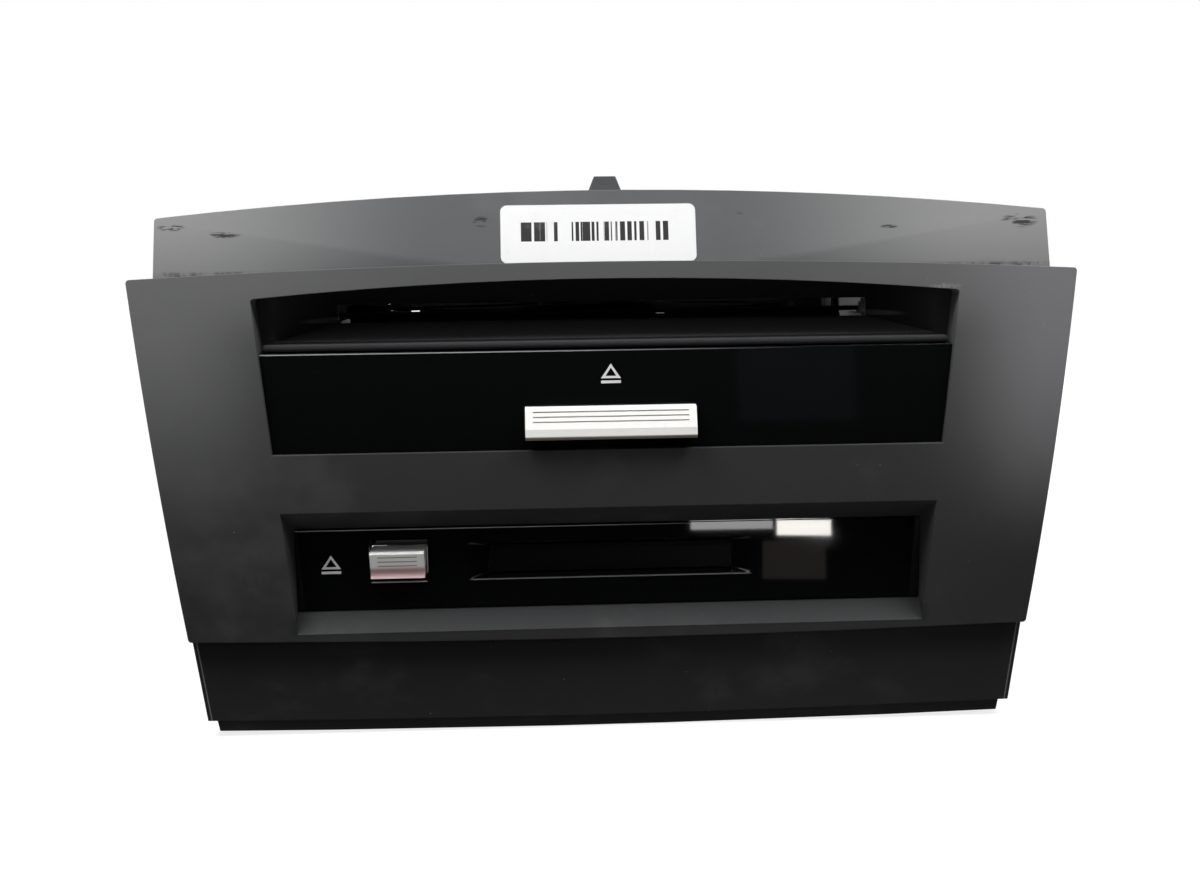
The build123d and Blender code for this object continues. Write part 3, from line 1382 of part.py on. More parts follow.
arm_top = arm_z + arm_sheet
rail_end = arm_reach - rail_back_gap
rail_z = arm_top + rail_rise
window_half = sled_half_width + sled_play
with BuildPart() as traverse_arm:
    rod("Z", pivot, (arm_z, arm_z + hub_height), hub_radius)
    block((pivot_x - arm_half, pivot_x + arm_half), (along(0), along(arm_reach)), (arm_z, arm_top))
    rod("Z", spindle, (arm_z, arm_top), arm_half)
    block((pivot_x - window_half, pivot_x + window_half),
          (along(rail_front + window_front_gap), along(rail_end - window_back_gap)),
          (arm_z, arm_top), Mode.SUBTRACT)
    for end in (rail_front, rail_end):
        for side in (-1, 1):
            lug_x = pivot_x + side * rod_offset
            block((lug_x - rail_lug_half, lug_x + rail_lug_half), (along(end - rail_lug), along(end)),
                  (arm_top, rail_z + rail_lug_half))
            rod("Y", (lug_x, rail_z), (along(end - rail_lug), along(end)),
                rod_radius + bearing_clearance, Mode.SUBTRACT)
    rod("Z", pivot, (arm_z, arm_z + hub_height), sleeve_radius + bearing_clearance, Mode.SUBTRACT)
    block((pivot_x - key_half - key_play, pivot_x + key_half + key_play),
          (along(0), along(sleeve_radius + key_reach + 2 * key_play)),
          (arm_z, arm_z + hub_height), Mode.SUBTRACT)
    rod("Z", spindle, (arm_z, arm_top), spindle_bore, Mode.SUBTRACT)
pieces["traverse_arm"] = traverse_arm

with BuildPart() as spindle_motor:
    rod("Z", spindle, (arm_z - spindle_motor_height, arm_z), spindle_motor_radius)
    rod("Z", spindle, (arm_z - spindle_sink, arm_z), spindle_radius + bearing_clearance, Mode.SUBTRACT)
pieces["spindle_motor"] = spindle_motor

with BuildPart() as turntable:
    rod("Z", spindle, (seat_z - turntable_height, seat_z), turntable_radius)
    rod("Z", spindle, (arm_z - spindle_sink, seat_z), spindle_radius)
    rod("Z", spindle, (arm_top + turntable_gap, seat_z - turntable_height), turntable_hub)
    rod("Z", spindle, (seat_z, seat_z + cone_height), cone_radius)
    chamfer(turntable.edges().group_by(Axis.Z)[-1], cone_chamfer)
pieces["turntable"] = turntable

sled_centre = arm_reach - sled_inner
sled_low = arm_top + sled_gap
sled_top = sled_low + sled_height
with BuildPart() as pickup_sled:
    block((pivot_x - sled_half_width, pivot_x + sled_half_width),
          (along(sled_centre - sled_half_length), along(sled_centre + sled_half_length)), (sled_low,
                                                                                           sled_top))
    for side in (-1, 1):
        block((pivot_x + side * sled_half_width, pivot_x + side * (rod_offset + sled_wing)),
              (along(sled_centre - sled_wing_half), along(sled_centre + sled_wing_half)),
              (rail_z - sled_wing_rise, rail_z + sled_wing_rise))
        rod("Y", (pivot_x + side * rod_offset, rail_z),
            (along(sled_centre - sled_half_length), along(sled_centre + sled_half_length)),
            rod_radius + bearing_clearance, Mode.SUBTRACT)
    rod("Z", (pivot_x, along(sled_centre)), (sled_top, sled_top + lens_rise), lens_radius)
pieces["pickup_sled"] = pickup_sled

with BuildPart() as guide_rod:
    rod("Y", (pivot_x + rod_offset, rail_z),
        (along(rail_front - rail_lug - rail_tail), along(rail_end + rail_tail)), rod_radius)
pieces["guide_rod"] = guide_rod

screw_end = rail_front - screw_lead
with BuildPart() as lead_screw:
    rod("Y", (pivot_x - rod_offset, rail_z), (along(screw_end), along(rail_end + rail_tail)), rod_radius)
pieces["lead_screw"] = lead_screw

motor_back = along(rail_front - rail_lug)
motor_front = motor_back - sled_motor_length
with BuildPart() as sled_motor:
    rod("Y", (pivot_x - rod_offset, rail_z), (motor_front, motor_back), sled_motor_radius)
    rod("Y", (pivot_x - rod_offset, rail_z), (along(screw_end), motor_back),
        rod_radius + bearing_clearance, Mode.SUBTRACT)
    block((pivot_x - rod_offset - rail_lug_half, pivot_x - rod_offset + rail_lug_half),
          (motor_front, motor_back), (arm_top, rail_z - sled_motor_foot))
pieces["sled_motor"] = sled_motor

os.makedirs("parts", exist_ok=True)
for name, piece in pieces.items():
    piece.part.label = name
    export_step(piece.part, f"parts/{name}.step")
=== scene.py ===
import json
import math

import bmesh
import bpy
from mathutils import Matrix, Vector


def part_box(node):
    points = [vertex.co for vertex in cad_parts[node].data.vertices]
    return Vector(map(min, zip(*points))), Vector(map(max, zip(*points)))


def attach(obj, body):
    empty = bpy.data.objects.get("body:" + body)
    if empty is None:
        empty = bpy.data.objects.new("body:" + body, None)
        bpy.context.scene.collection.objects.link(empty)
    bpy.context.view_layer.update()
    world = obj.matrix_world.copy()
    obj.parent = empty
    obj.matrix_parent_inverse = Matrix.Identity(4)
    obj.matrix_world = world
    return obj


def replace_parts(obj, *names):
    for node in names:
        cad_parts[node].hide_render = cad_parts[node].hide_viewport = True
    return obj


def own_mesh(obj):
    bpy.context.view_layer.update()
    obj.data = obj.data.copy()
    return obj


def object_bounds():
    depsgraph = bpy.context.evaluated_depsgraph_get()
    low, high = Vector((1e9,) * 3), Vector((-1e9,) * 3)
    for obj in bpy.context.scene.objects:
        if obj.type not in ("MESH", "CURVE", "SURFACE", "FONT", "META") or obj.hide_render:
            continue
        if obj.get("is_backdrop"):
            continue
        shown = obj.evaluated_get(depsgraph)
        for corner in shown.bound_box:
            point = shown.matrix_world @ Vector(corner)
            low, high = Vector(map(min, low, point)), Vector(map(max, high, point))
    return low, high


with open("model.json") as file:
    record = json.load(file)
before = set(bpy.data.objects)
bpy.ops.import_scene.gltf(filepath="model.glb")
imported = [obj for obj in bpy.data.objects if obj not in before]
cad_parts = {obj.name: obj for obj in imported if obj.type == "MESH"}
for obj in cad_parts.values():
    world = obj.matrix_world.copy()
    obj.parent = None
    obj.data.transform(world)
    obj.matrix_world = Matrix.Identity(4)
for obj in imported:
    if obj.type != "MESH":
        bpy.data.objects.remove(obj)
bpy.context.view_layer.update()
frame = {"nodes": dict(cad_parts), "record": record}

mm = 0.001
scene = bpy.context.scene
print("frame loaded", len(frame["nodes"]), "nodes")

bodyOf = {node: body for body, members in frame["record"]["behaviour"]["bodies"].items() for node in members}
slotOf = {part["node"]: part["material_slot"] for part in frame["record"]["subparts"]}


# Shader maths
class Wire:                                    # one socket, so that masks add and multiply as numbers do
    def __init__(self, graph, socket):
        self.graph = graph
        self.socket = socket

    def maths(self, operation, first, second=0.0, clamp=False):
        return self.graph.add("ShaderNodeMath", {"operation": operation, "use_clamp": clamp},
                              {0: first, 1: second})

    def __add__(self, other):
        return self.maths("ADD", self, other)

    def __radd__(self, other):
        return self.maths("ADD", other, self)

    def __sub__(self, other):
        return self.maths("SUBTRACT", self, other)

    def __rsub__(self, other):
        return self.maths("SUBTRACT", other, self)

    def __mul__(self, other):
        return self.maths("MULTIPLY", self, other)

    def __rmul__(self, other):
        return self.maths("MULTIPLY", other, self)

    def __truediv__(self, other):
        return self.maths("DIVIDE", self, other)

    def __abs__(self):
        return self.maths("ABSOLUTE", self)

    def held(self):                            # kept between 0 and 1
        return self.maths("ADD", self, 0.0, clamp=True)

    def most(self, other):
        return self.maths("MAXIMUM", self, other)


class Graph:                                   # the nodes of one material or of the surroundings
    def __init__(self, tree):
        self.tree = tree

    def plug(self, node, sockets):             # a wire is linked, a plain value is written on the socket
        for key, value in sockets.items():
            if isinstance(value, Wire):
                self.tree.links.new(value.socket, node.inputs[key])
            else:
                node.inputs[key].default_value = value

    def add(self, kind, settings, sockets, output=0):
        node = self.tree.nodes.new(kind)
        for key, value in settings.items():
            setattr(node, key, value)
        self.plug(node, sockets)
        return Wire(self, node.outputs[output])

    def other(self, wire, output):             # another output of the node that a wire comes from
        return Wire(self, wire.socket.node.outputs[output])

    def rays(self):                            # rays that see the white backdrop, and reflected rays
        camera = self.add("ShaderNodeLightPath", {}, {}, "Is Camera Ray")
        seen = camera + self.other(camera, "Is Transmission Ray")
        return seen.held(), self.other(camera, "Is Glossy Ray")


class Finish(Graph):                           # one material, with its coordinates x, y and z in metres
    def __init__(self, name, colour, roughness, metallic=0.0, **fixed):
        self.material = bpy.data.materials.new(name)
        self.material.use_nodes = True
        self.material.diffuse_color = (*colour, 1)
        super().__init__(self.material.node_tree)
        self.shader = self.tree.nodes["Principled BSDF"]
        self.plug(self.shader, {"Base Color": (*colour, 1), "Roughness": roughness, "Metallic": metallic})
        self.plug(self.shader, {socket.replace("_", " "): value for socket, value in fixed.items()})
        self.place = self.add("ShaderNodeTexCoord", {}, {}, "Object")
        self.x = self.add("ShaderNodeSeparateXYZ", {}, {"Vector": self.place}, "X")
        self.y = self.other(self.x, "Y")
        self.z = self.other(self.x, "Z")

    def stretched(self, stretch):
        if stretch is None:
            return self.place
        return self.add("ShaderNodeVectorMath", {"operation": "MULTIPLY"}, {0: self.place, 1: stretch})

    def noise(self, size, detail, roughness, stretch=None):            # size in mm
        sockets = {"Vector": self.stretched(stretch), "Scale": 1 / (size * mm), "Detail": detail,
                   "Roughness": roughness}
        return self.add("ShaderNodeTexNoise", {}, sockets)

    def cells(self, size, output="Distance", stretch=None):            # size in mm
        sockets = {"Vector": self.stretched(stretch), "Scale": 1 / (size * mm)}
        return self.add("ShaderNodeTexVoronoi", {}, sockets, output)

    def cellTint(self, size, stretch=None, channel="Red"):             # one random value for each cell
        tint = self.cells(size, "Color", stretch)
        return self.add("ShaderNodeSeparateColor", {}, {"Color": tint}, channel)

    def rise(self, value, low, high):          # smooth step from low to high, or down when low is above high
        return self.add("ShaderNodeMapRange", {"interpolation_type": "SMOOTHSTEP"},
                        {"Value": value, "From Min": low, "From Max": high})

    def along(self, place, low, high):         # the same step over a stretch given in mm
        return self.rise(place, low * mm, high * mm)

    def between(self, place, low, high, soft):
        return self.along(place, low - soft, low + soft) * self.along(place, high + soft, high - soft)

    def patch(self, x, z, halfWidth, halfHeight):                      # soft ellipse on the front, in mm
        across = (self.x - x * mm) / (halfWidth * mm)
        upward = (self.z - z * mm) / (halfHeight * mm)
        return self.rise(across * across + upward * upward, 1.0, 0.15)

    def patches(self, places):
        total = 0.0
        for place in places:
            total = total + self.patch(*place)
        return total

    def specks(self, spacing, size, share):    # dust: a small dot in some of the cells
        dot = self.rise(self.cells(spacing), size, 0.4 * size)
        return dot * self.rise(self.cellTint(spacing), share, 0.6 * share)

    def mix(self, mask, first, second):
        first, second = [value if isinstance(value, Wire) else (*value, 1) for value in (first, second)]
        return self.add("ShaderNodeMix", {"data_type": "RGBA"}, {0: mask, 6: first, 7: second}, 2)

    def feed(self, socket, value):
        self.plug(self.shader, {socket: value})

    def bump(self, height, depth, strength):   # depth in mm
        sockets = {"Height": height, "Strength": strength, "Distance": depth * mm}
        self.feed("Normal", self.add("ShaderNodeBump", {}, sockets))


# Finishes of the front. Places are in mm: low and high pairs of x or z, or x, z, half width and half height.
bezelLook = {
    "low": (0.026, 0.026, 0.028), "high": (0.138, 0.139, 0.141), "climb": (36, 96), "drift": 10,
    "right": (0.190, 0.190, 0.198), "rightEnd": (70, 100),
    "middle": (0.030, 0.030, 0.030), "middleAcross": (96, 60), "middleUp": (103, 88), "wide": (90, 30),
    "ramp": (0.020, 0.021, 0.022), "rampUp": (24.4, 28.4), "rampAcross": (72.5, 71.5),
    "haze": (0.12, 0.12, 0.12), "smudge": (0.030, 0.022, 0.022), "smudgePlace": (-78, 34, 6, 13),
    "bareAndHighlight": (0.22, 0.22, 0.22), "paintedEdgeHighlights": ((74.4, 100.4, 4.2, 0.7), (52.6, 101.2, 2.2, 0.4)),
    "dust": (0.36, 0.36, 0.36), "roughness": 0.62, "grain": 0.30,
}


def bezelCharcoal():
    look = Finish("bezelCharcoal", bezelLook["low"], bezelLook["roughness"], Specular_IOR_Level=0.35)
    cloud = look.noise(28, 4, 0.6)
    # painted light: the bezel is lighter towards the top
    height = look.along(look.z + (cloud - 0.5) * (bezelLook["drift"] * mm), *bezelLook["climb"])
    colour = look.mix(height, bezelLook["low"], bezelLook["high"])
    # painted light: the top of the right end lighter still
    colour = look.mix(look.along(look.x, *bezelLook["rightEnd"]) * height, colour, bezelLook["right"])
    centre = look.along(abs(look.x), *bezelLook["middleAcross"]) * look.along(look.z, *bezelLook["middleUp"])
    colour = look.mix(centre, colour, bezelLook["middle"])             # painted shade: darker between the two ends
    colour = look.mix(look.along(abs(look.x), *bezelLook["wide"]) * 0.35, colour, bezelLook["middle"])
    # painted shade: a darker band on the slope below the lower opening
    ramp = look.between(look.z, *bezelLook["rampUp"], 0.3) * look.along(abs(look.x), *bezelLook["rampAcross"])
    colour = look.mix(ramp, colour, bezelLook["ramp"])
    colour = look.mix(look.rise(cloud, 0.52, 0.75) * 0.20, colour, bezelLook["haze"])
    smudge = look.patch(*bezelLook["smudgePlace"]) * look.rise(look.noise(3, 3, 0.7), 0.35, 0.7)
    colour = look.mix(smudge * 0.45, colour, bezelLook["smudge"])
    # painted highlights: broken pale streaks along the top right of the upper opening's edge
    paintedEdgeHighlights = look.patches(bezelLook["paintedEdgeHighlights"]) * look.rise(look.noise(0.6, 2, 0.6), 0.42, 0.55)
    colour = look.mix(paintedEdgeHighlights.held(), colour, bezelLook["bareAndHighlight"])
    colour = look.mix(look.specks(2.6, 0.05, 0.16) * 0.8, colour, bezelLook["dust"])
    look.feed("Base Color", colour)
    look.feed("Roughness", 0.56 + look.noise(9, 3, 0.6) * 0.16)
    grain = look.noise(bezelLook["grain"], 2, 0.6) * 0.7 + look.noise(1.4, 2, 0.5) * 0.3
    look.bump(grain, 0.030, 0.55)
    return look.material


carrierLook = {
    "low": (0.011, 0.011, 0.0125), "high": (0.262, 0.264, 0.262), "climb": (100, 106), "drift": 4,
    "middle": (0.078, 0.080, 0.086), "middleX": -6, "middleAcross": (92, 30), "haze": (0.30, 0.30, 0.295),
    "scuff": (0.008, 0.008, 0.010),
    "scuffs": ((-94.6, 115.1, 4.2, 0.9), (-84.2, 113.4, 4.6, 0.8), (-27.7, 115.6, 2.2, 1.4),
               (27.8, 117.0, 3.6, 0.6), (92.6, 114.6, 4.8, 1.8), (63.0, 113.6, 2.4, 0.5)),
    "dirt": (0.03, 0.027, 0.025), "dirtUp": (104.2, 105.4),
    "rim": (0.16, 0.16, 0.16), "rimAcross": (90.8, 91.05), "rimSlant": 0.1347, "rimTop": (22.8, 22.4),
    "smear": (0.040, 0.040, 0.042), "smearTop": (26, 22), "dust": (0.36, 0.36, 0.36), "roughness": 0.55,
}


def carrierGrey():
    look = Finish("carrierGrey", carrierLook["low"], carrierLook["roughness"], Specular_IOR_Level=0.35)
    cloud = look.noise(30, 4, 0.6)
    # painted light and shade: the leaning top strip pale and the foot below it dark
    lit = look.along(look.z + (cloud - 0.5) * (carrierLook["drift"] * mm), *carrierLook["climb"])
    colour = look.mix(lit, carrierLook["low"], carrierLook["high"])
    across = abs(look.x - carrierLook["middleX"] * mm)
    centre = look.along(across, *carrierLook["middleAcross"]) * lit    # painted shade: the strip is darker at its middle
    colour = look.mix(centre * 0.85, colour, carrierLook["middle"])
    colour = look.mix(look.rise(cloud, 0.5, 0.8) * 0.15 * lit, colour, carrierLook["haze"])
    streaks = look.rise(look.noise(1.3, 3, 0.65, (0.22, 1, 1.6)), 0.46, 0.55)
    scuffs = look.patches(carrierLook["scuffs"]) * streaks
    colour = look.mix(scuffs.held() * 0.9, colour, carrierLook["scuff"])
    dirt = look.between(look.z, *carrierLook["dirtUp"], 0.35) * look.rise(look.noise(4, 4, 0.7), 0.42, 0.6)
    colour = look.mix(dirt * 0.7, colour, carrierLook["dirt"])
    side = abs(look.x) - look.z * carrierLook["rimSlant"]
    rim = look.between(side, *carrierLook["rimAcross"], 0.1) * look.along(look.z, *carrierLook["rimTop"])
    colour = look.mix(rim * 0.8, colour, carrierLook["rim"])           # painted highlight: a pale line down each side of the foot
    smear = look.rise(look.noise(16, 4, 0.62, (0.6, 1, 1)), 0.53, 0.72)
    smear = smear * look.along(look.z, *carrierLook["smearTop"])
    colour = look.mix(smear * 0.40, colour, carrierLook["smear"])
    colour = look.mix(look.specks(2.8, 0.055, 0.15) * 0.7, colour, carrierLook["dust"])
    look.feed("Base Color", colour)
    look.feed("Roughness", 0.50 + look.noise(7, 3, 0.6) * 0.16)
    look.bump(look.noise(0.28, 2, 0.6), 0.022, 0.45)
    return look.material


pianoLook = {
    "base": (0.0035, 0.0038, 0.004), "roughness": 0.05, "dust": (0.16, 0.16, 0.16),
    "wearAndHighlight": (0.42, 0.42, 0.43), "highlightAcross": (50, -30), "highlightFront": (-84, -86),
    "upperTop": (87.25, 87.47), "lowerTop": (46.99, 47.17),
    "mouthBottom": (34.94, 35.16), "mouthAcross": (-32.2, 32.2),
    "wellBottom": (34.75, 35.0), "wellAcross": (-54.6, -42), "lowerFront": (-88.9, -89.2), "soft": 0.05,
}


def pianoBlack():
    look = Finish("pianoBlack", pianoLook["base"], pianoLook["roughness"], Coat_Weight=0.6,
                  Coat_Roughness=0.03, Specular_IOR_Level=0.42)
    dust = look.specks(2.2, 0.04, 0.15)
    colour = look.mix(dust, pianoLook["base"], pianoLook["dust"])

    def line(name):                                                    # a painted highlight along an edge that runs across
        return look.between(look.z, *pianoLook[name], pianoLook["soft"])

    # painted highlights along the panels' top edges and the card mouth's and button well's bottom edges
    wearAndHighlight = (line("upperTop") + line("lowerTop")) * look.along(look.x, *pianoLook["highlightAcross"])
    wearAndHighlight = wearAndHighlight * look.along(look.y, *pianoLook["highlightFront"])
    mouth = line("mouthBottom") * look.between(look.x, *pianoLook["mouthAcross"], 0.5)
    well = line("wellBottom") * look.between(look.x, *pianoLook["wellAcross"], 0.2)
    wearAndHighlight = wearAndHighlight + (mouth * 0.5 + well) * look.along(look.y, *pianoLook["lowerFront"])
    look.feed("Base Color", look.mix(wearAndHighlight.held(), colour, pianoLook["wearAndHighlight"]))
    haze = look.rise(look.noise(20, 4, 0.6, (0.5, 1, 1)), 0.48, 0.75)
    look.feed("Roughness", 0.045 + haze * 0.05 + dust * 0.5)
    look.bump(look.noise(22, 1, 0.4), 0.05, 0.25)                      # moulded skin, barely wavy
    return look.material


silverLook = {
    "base": (0.93, 0.92, 0.89), "pale": (0.94, 0.93, 0.90), "wearAndHighlight": (0.72, 0.69, 0.66), "roughness": 0.42,
    "hollow": (0.56, 0.38, 0.38), "hollowUp": (39.4, 38.2), "hollowSide": (-30, -31),
    "groove": (0.16, 0.15, 0.15), "grooveHalf": 0.12,
    "grooves": (((-17.1, 17.1), (74.2, 73.15, 72.1)), ((-52.7, -43.9), (41.4, 40.35, 39.3))),
    "edge": (0.24, 0.19, 0.14), "edgeTop": (69.0, 68.6), "edgeBottom": (60, 61),
}


def satinSilver():
    look = Finish("satinSilver", silverLook["base"], silverLook["roughness"], 0.05)
    fine = look.noise(0.10, 2, 0.6)
    wearAndHighlight = look.rise(look.noise(2.2, 4, 0.65), 0.56, 0.72)
    colour = look.mix(wearAndHighlight * 0.12, silverLook["pale"], silverLook["wearAndHighlight"])
    hollow = look.along(look.z, *silverLook["hollowUp"]) * look.along(look.x, *silverLook["hollowSide"])
    colour = look.mix(hollow, colour, silverLook["hollow"])            # painted shade: the button's hollow darker and pinkish grey
    grooves = 0.0
    for ends, heights in silverLook["grooves"]:
        for z in heights:
            line = look.between(look.z, z - silverLook["grooveHalf"], z + silverLook["grooveHalf"], 0.05)
            grooves = grooves + line * look.between(look.x, *ends, 0.1)
    # painted shade in the grooves
    colour = look.mix(grooves.held() * 0.7, colour, silverLook["groove"])
    # painted shade along the eject bar's lower edge
    edge = look.along(look.z, *silverLook["edgeTop"]) * look.along(look.z, *silverLook["edgeBottom"])
    look.feed("Base Color", look.mix(edge, colour, silverLook["edge"]))
    look.feed("Roughness", 0.36 + fine * 0.12)
    look.bump(fine, 0.006, 0.4)
    return look.material


flockLook = {
    "base": (0.02, 0.02, 0.021), "roughness": 0.92, "deep": (0.014, 0.014, 0.016),
    "tips": (0.038, 0.038, 0.042), "lint": (0.22, 0.22, 0.22),
    "lit": (0.20, 0.20, 0.20), "ends": ((-64, 93.9, 6, 0.8), (64, 93.9, 6, 0.8)),
}


def flockBlack():
    look = Finish("flockBlack", flockLook["base"], flockLook["roughness"], Specular_IOR_Level=0.2,
                  Sheen_Weight=0.15)
    pile = look.noise(0.16, 3, 0.75)
    hair = look.rise(look.noise(0.7, 2, 0.6, (0.3, 1, 1)), 0.70, 0.78)
    colour = look.mix(pile, flockLook["deep"], flockLook["tips"])
    colour = look.mix(look.patches(flockLook["ends"]).held() * 0.8, colour, flockLook["lit"])
    lint = (look.specks(1.7, 0.05, 0.2) + hair * 0.4).held()
    look.feed("Base Color", look.mix(lint * 0.6, colour, flockLook["lint"]))
    look.bump(pile, 0.12, 0.8)
    return look.material


labelLook = {
    "paper": (0.90, 0.90, 0.90), "ink": (0.015, 0.015, 0.016), "grime": (0.55, 0.54, 0.52), "roughness": 0.48,
    "barsUp": (111.2, 115.4), "barsAcross": (-19.0, 13.6), "bar": 0.62, "inked": (0.40, 0.41),
}


def labelPaper():
    look = Finish("labelPaper", labelLook["paper"], labelLook["roughness"])
    inside = look.between(look.x, *labelLook["barsAcross"], 0.02)
    inside = inside * look.between(look.z, *labelLook["barsUp"], 0.02)
    stripes = look.rise(look.cellTint(labelLook["bar"], (1, 0, 0)), *labelLook["inked"])
    colour = look.mix(inside * stripes, labelLook["paper"], labelLook["ink"])
    grime = look.rise(look.noise(4, 4, 0.6), 0.55, 0.8) * 0.14
    look.feed("Base Color", look.mix(grime, colour, labelLook["grime"]))
    look.feed("Roughness", 0.42 + look.noise(1.5, 3, 0.6) * 0.14)
    look.bump(look.noise(0.5, 2, 0.6), 0.01, 0.3)
    return look.material


markLook = {
    "base": (0.85, 0.85, 0.85), "pale": (0.88, 0.88, 0.88), "dull": (0.66, 0.66, 0.66), "roughness": 0.4,
    "halfWidth": 2.2, "height": 3.2, "lift": 0.6, "line": 0.5, "corner": 0.62, "gap": 0.5, "bar": 0.6,
    "proud": 0.03, "upper": (0.2, 81.4), "lower": (-63.6, 38.4), "lowerFaceY": -90.0,
}


def markWhite():
    look = Finish("markWhite", markLook["base"], markLook["roughness"])
    look.feed("Base Color", look.mix(look.noise(0.3, 2, 0.6) * 0.3, markLook["pale"], markLook["dull"]))
    return look.material


flapLook = {"base": (0.003, 0.003, 0.003), "skin": (0.003, 0.003, 0.0033), "dust": (0.10, 0.10, 0.10),
            "roughness": 0.5}


def flapBlack():
    look = Finish("flapBlack", flapLook["base"], flapLook["roughness"], Specular_IOR_Level=0.2)
    look.feed("Base Color", look.mix(look.specks(1.6, 0.04, 0.16), flapLook["skin"], flapLook["dust"]))
    look.feed("Roughness", 0.46 + look.noise(1.2, 3, 0.6) * 0.14)
    look.bump(look.noise(0.22, 2, 0.6), 0.012, 0.4)
    return look.material


# Finishes of the works
zincLook = {"base": (0.56, 0.57, 0.58), "dark": (0.47, 0.485, 0.50), "pale": (0.64, 0.645, 0.65),
            "stain": (0.40, 0.395, 0.37), "roughness": 0.34, "spangle": 7}


def zincSheet():
    look = Finish("zincSheet", zincLook["base"], zincLook["roughness"], 1.0)
    spangle = look.cellTint(zincLook["spangle"], (1, 1, 1))
    cloud = look.noise(18, 4, 0.6)
    rolled = look.noise(1.2, 3, 0.6, (1, 0.04, 1))
    colour = look.mix(spangle * 0.5 + cloud * 0.5, zincLook["dark"], zincLook["pale"])
    stain = look.rise(look.noise(11, 5, 0.65), 0.56, 0.72)
    look.feed("Base Color", look.mix(stain * 0.35, colour, zincLook["stain"]))
    look.feed("Roughness", 0.26 + spangle * 0.06 + rolled * 0.14 + stain * 0.10)
    look.bump(rolled * 0.6 + look.noise(0.5, 2, 0.6) * 0.4, 0.010, 0.35)
    return look.material


blackLook = {"paint": (0.022, 0.022, 0.023), "bareAndHighlight": (0.20, 0.20, 0.20), "roughness": 0.45}


def blackSheet():
    look = Finish("blackSheet", blackLook["paint"], blackLook["roughness"])
    wearAndHighlight = look.rise(look.noise(2.6, 5, 0.7, (1, 0.5, 1)), 0.66, 0.74)
    look.feed("Base Color", look.mix(wearAndHighlight, blackLook["paint"], blackLook["bareAndHighlight"]))
    look.feed("Metallic", wearAndHighlight * 0.8)
    look.feed("Roughness", 0.40 + look.noise(6, 4, 0.6) * 0.18)
    look.bump(look.noise(0.6, 3, 0.6), 0.03, 0.5)
    return look.material


steelLooks = {                                 # colour, roughness, and the stretch that draws the grain out
    "springSteel": ((0.50, 0.50, 0.51), 0.28, (1, 1, 0.05)),
    "groundSteel": ((0.66, 0.66, 0.67), 0.20, (1, 0.05, 1)),
    "screwSteel": ((0.20, 0.20, 0.205), 0.34, (1, 1, 1)),
    "motorCan": ((0.54, 0.54, 0.55), 0.26, (0.05, 1, 1)),
}


def brightSteel(name):
    colour, roughness, stretch = steelLooks[name]
    look = Finish(name, colour, roughness, 1.0)
    drawn = look.noise(0.5, 3, 0.6, stretch)
    dulled = look.rise(look.noise(5, 4, 0.6), 0.52, 0.75)
    look.feed("Base Color", look.mix(dulled * 0.4, colour, tuple(0.7 * part for part in colour)))
    look.feed("Roughness", roughness - 0.05 + drawn * 0.14)
    look.bump(drawn, 0.006, 0.4)
    return look.material


mouldedLooks = {                               # two shades, roughness with its spread, and the skin in mm
    "softRubber": {
        "base": (0.017, 0.017, 0.018), "dark": (0.012, 0.012, 0.013), "pale": (0.030, 0.030, 0.031),
        "cloud": 4, "roughness": 0.7, "smooth": 0.62, "spread": 0.16, "blotch": 2, "metallic": 0.0,
        "shine": 0.3, "skin": 0.3, "fineness": 3, "depth": 0.02, "strength": 0.5},
    "connectorBlack": {
        "base": (0.02, 0.02, 0.022), "dark": (0.016, 0.016, 0.018), "pale": (0.034, 0.034, 0.037),
        "cloud": 3, "roughness": 0.4, "smooth": 0.36, "spread": 0.14, "blotch": 1, "metallic": 0.0,
        "shine": 0.5, "skin": 0.25, "fineness": 2, "depth": 0.012, "strength": 0.4},
    "trayPlastic": {
        "base": (0.04, 0.04, 0.043), "dark": (0.030, 0.030, 0.033), "pale": (0.055, 0.055, 0.060),
        "cloud": 8, "roughness": 0.5, "smooth": 0.44, "spread": 0.14, "blotch": 2, "metallic": 0.0,
        "shine": 0.5, "skin": 0.4, "fineness": 2, "depth": 0.015, "strength": 0.4},
    "castAlloy": {
        "base": (0.50, 0.50, 0.51), "dark": (0.44, 0.44, 0.45), "pale": (0.60, 0.60, 0.61),
        "cloud": 5, "roughness": 0.45, "smooth": 0.40, "spread": 0.18, "blotch": 0.8, "metallic": 0.9,
        "shine": 0.5, "skin": 0.45, "fineness": 3, "depth": 0.03, "strength": 0.5},
}


def moulded(name):
    values = mouldedLooks[name]
    look = Finish(name, values["base"], values["roughness"], values["metallic"],
                  Specular_IOR_Level=values["shine"])
    look.feed("Base Color", look.mix(look.noise(values["cloud"], 4, 0.6), values["dark"], values["pale"]))
    look.feed("Roughness", values["smooth"] + look.noise(values["blotch"], 3, 0.6) * values["spread"])
    look.bump(look.noise(values["skin"], values["fineness"], 0.6), values["depth"], values["strength"])
    return look.material


boardLook = {"nodes": ("card_board", "main_board"), "thickness": 1.6, "tallest": 6, "clear": 0.02,
             "base": (0.010, 0.085, 0.040), "mask": (0.008, 0.065, 0.032), "lanes": (0.020, 0.150, 0.070),
             "solder": (0.62, 0.62, 0.60), "chips": (0.014, 0.014, 0.015), "roughness": 0.32, "lane": 3.2,
             "joint": 3.8}


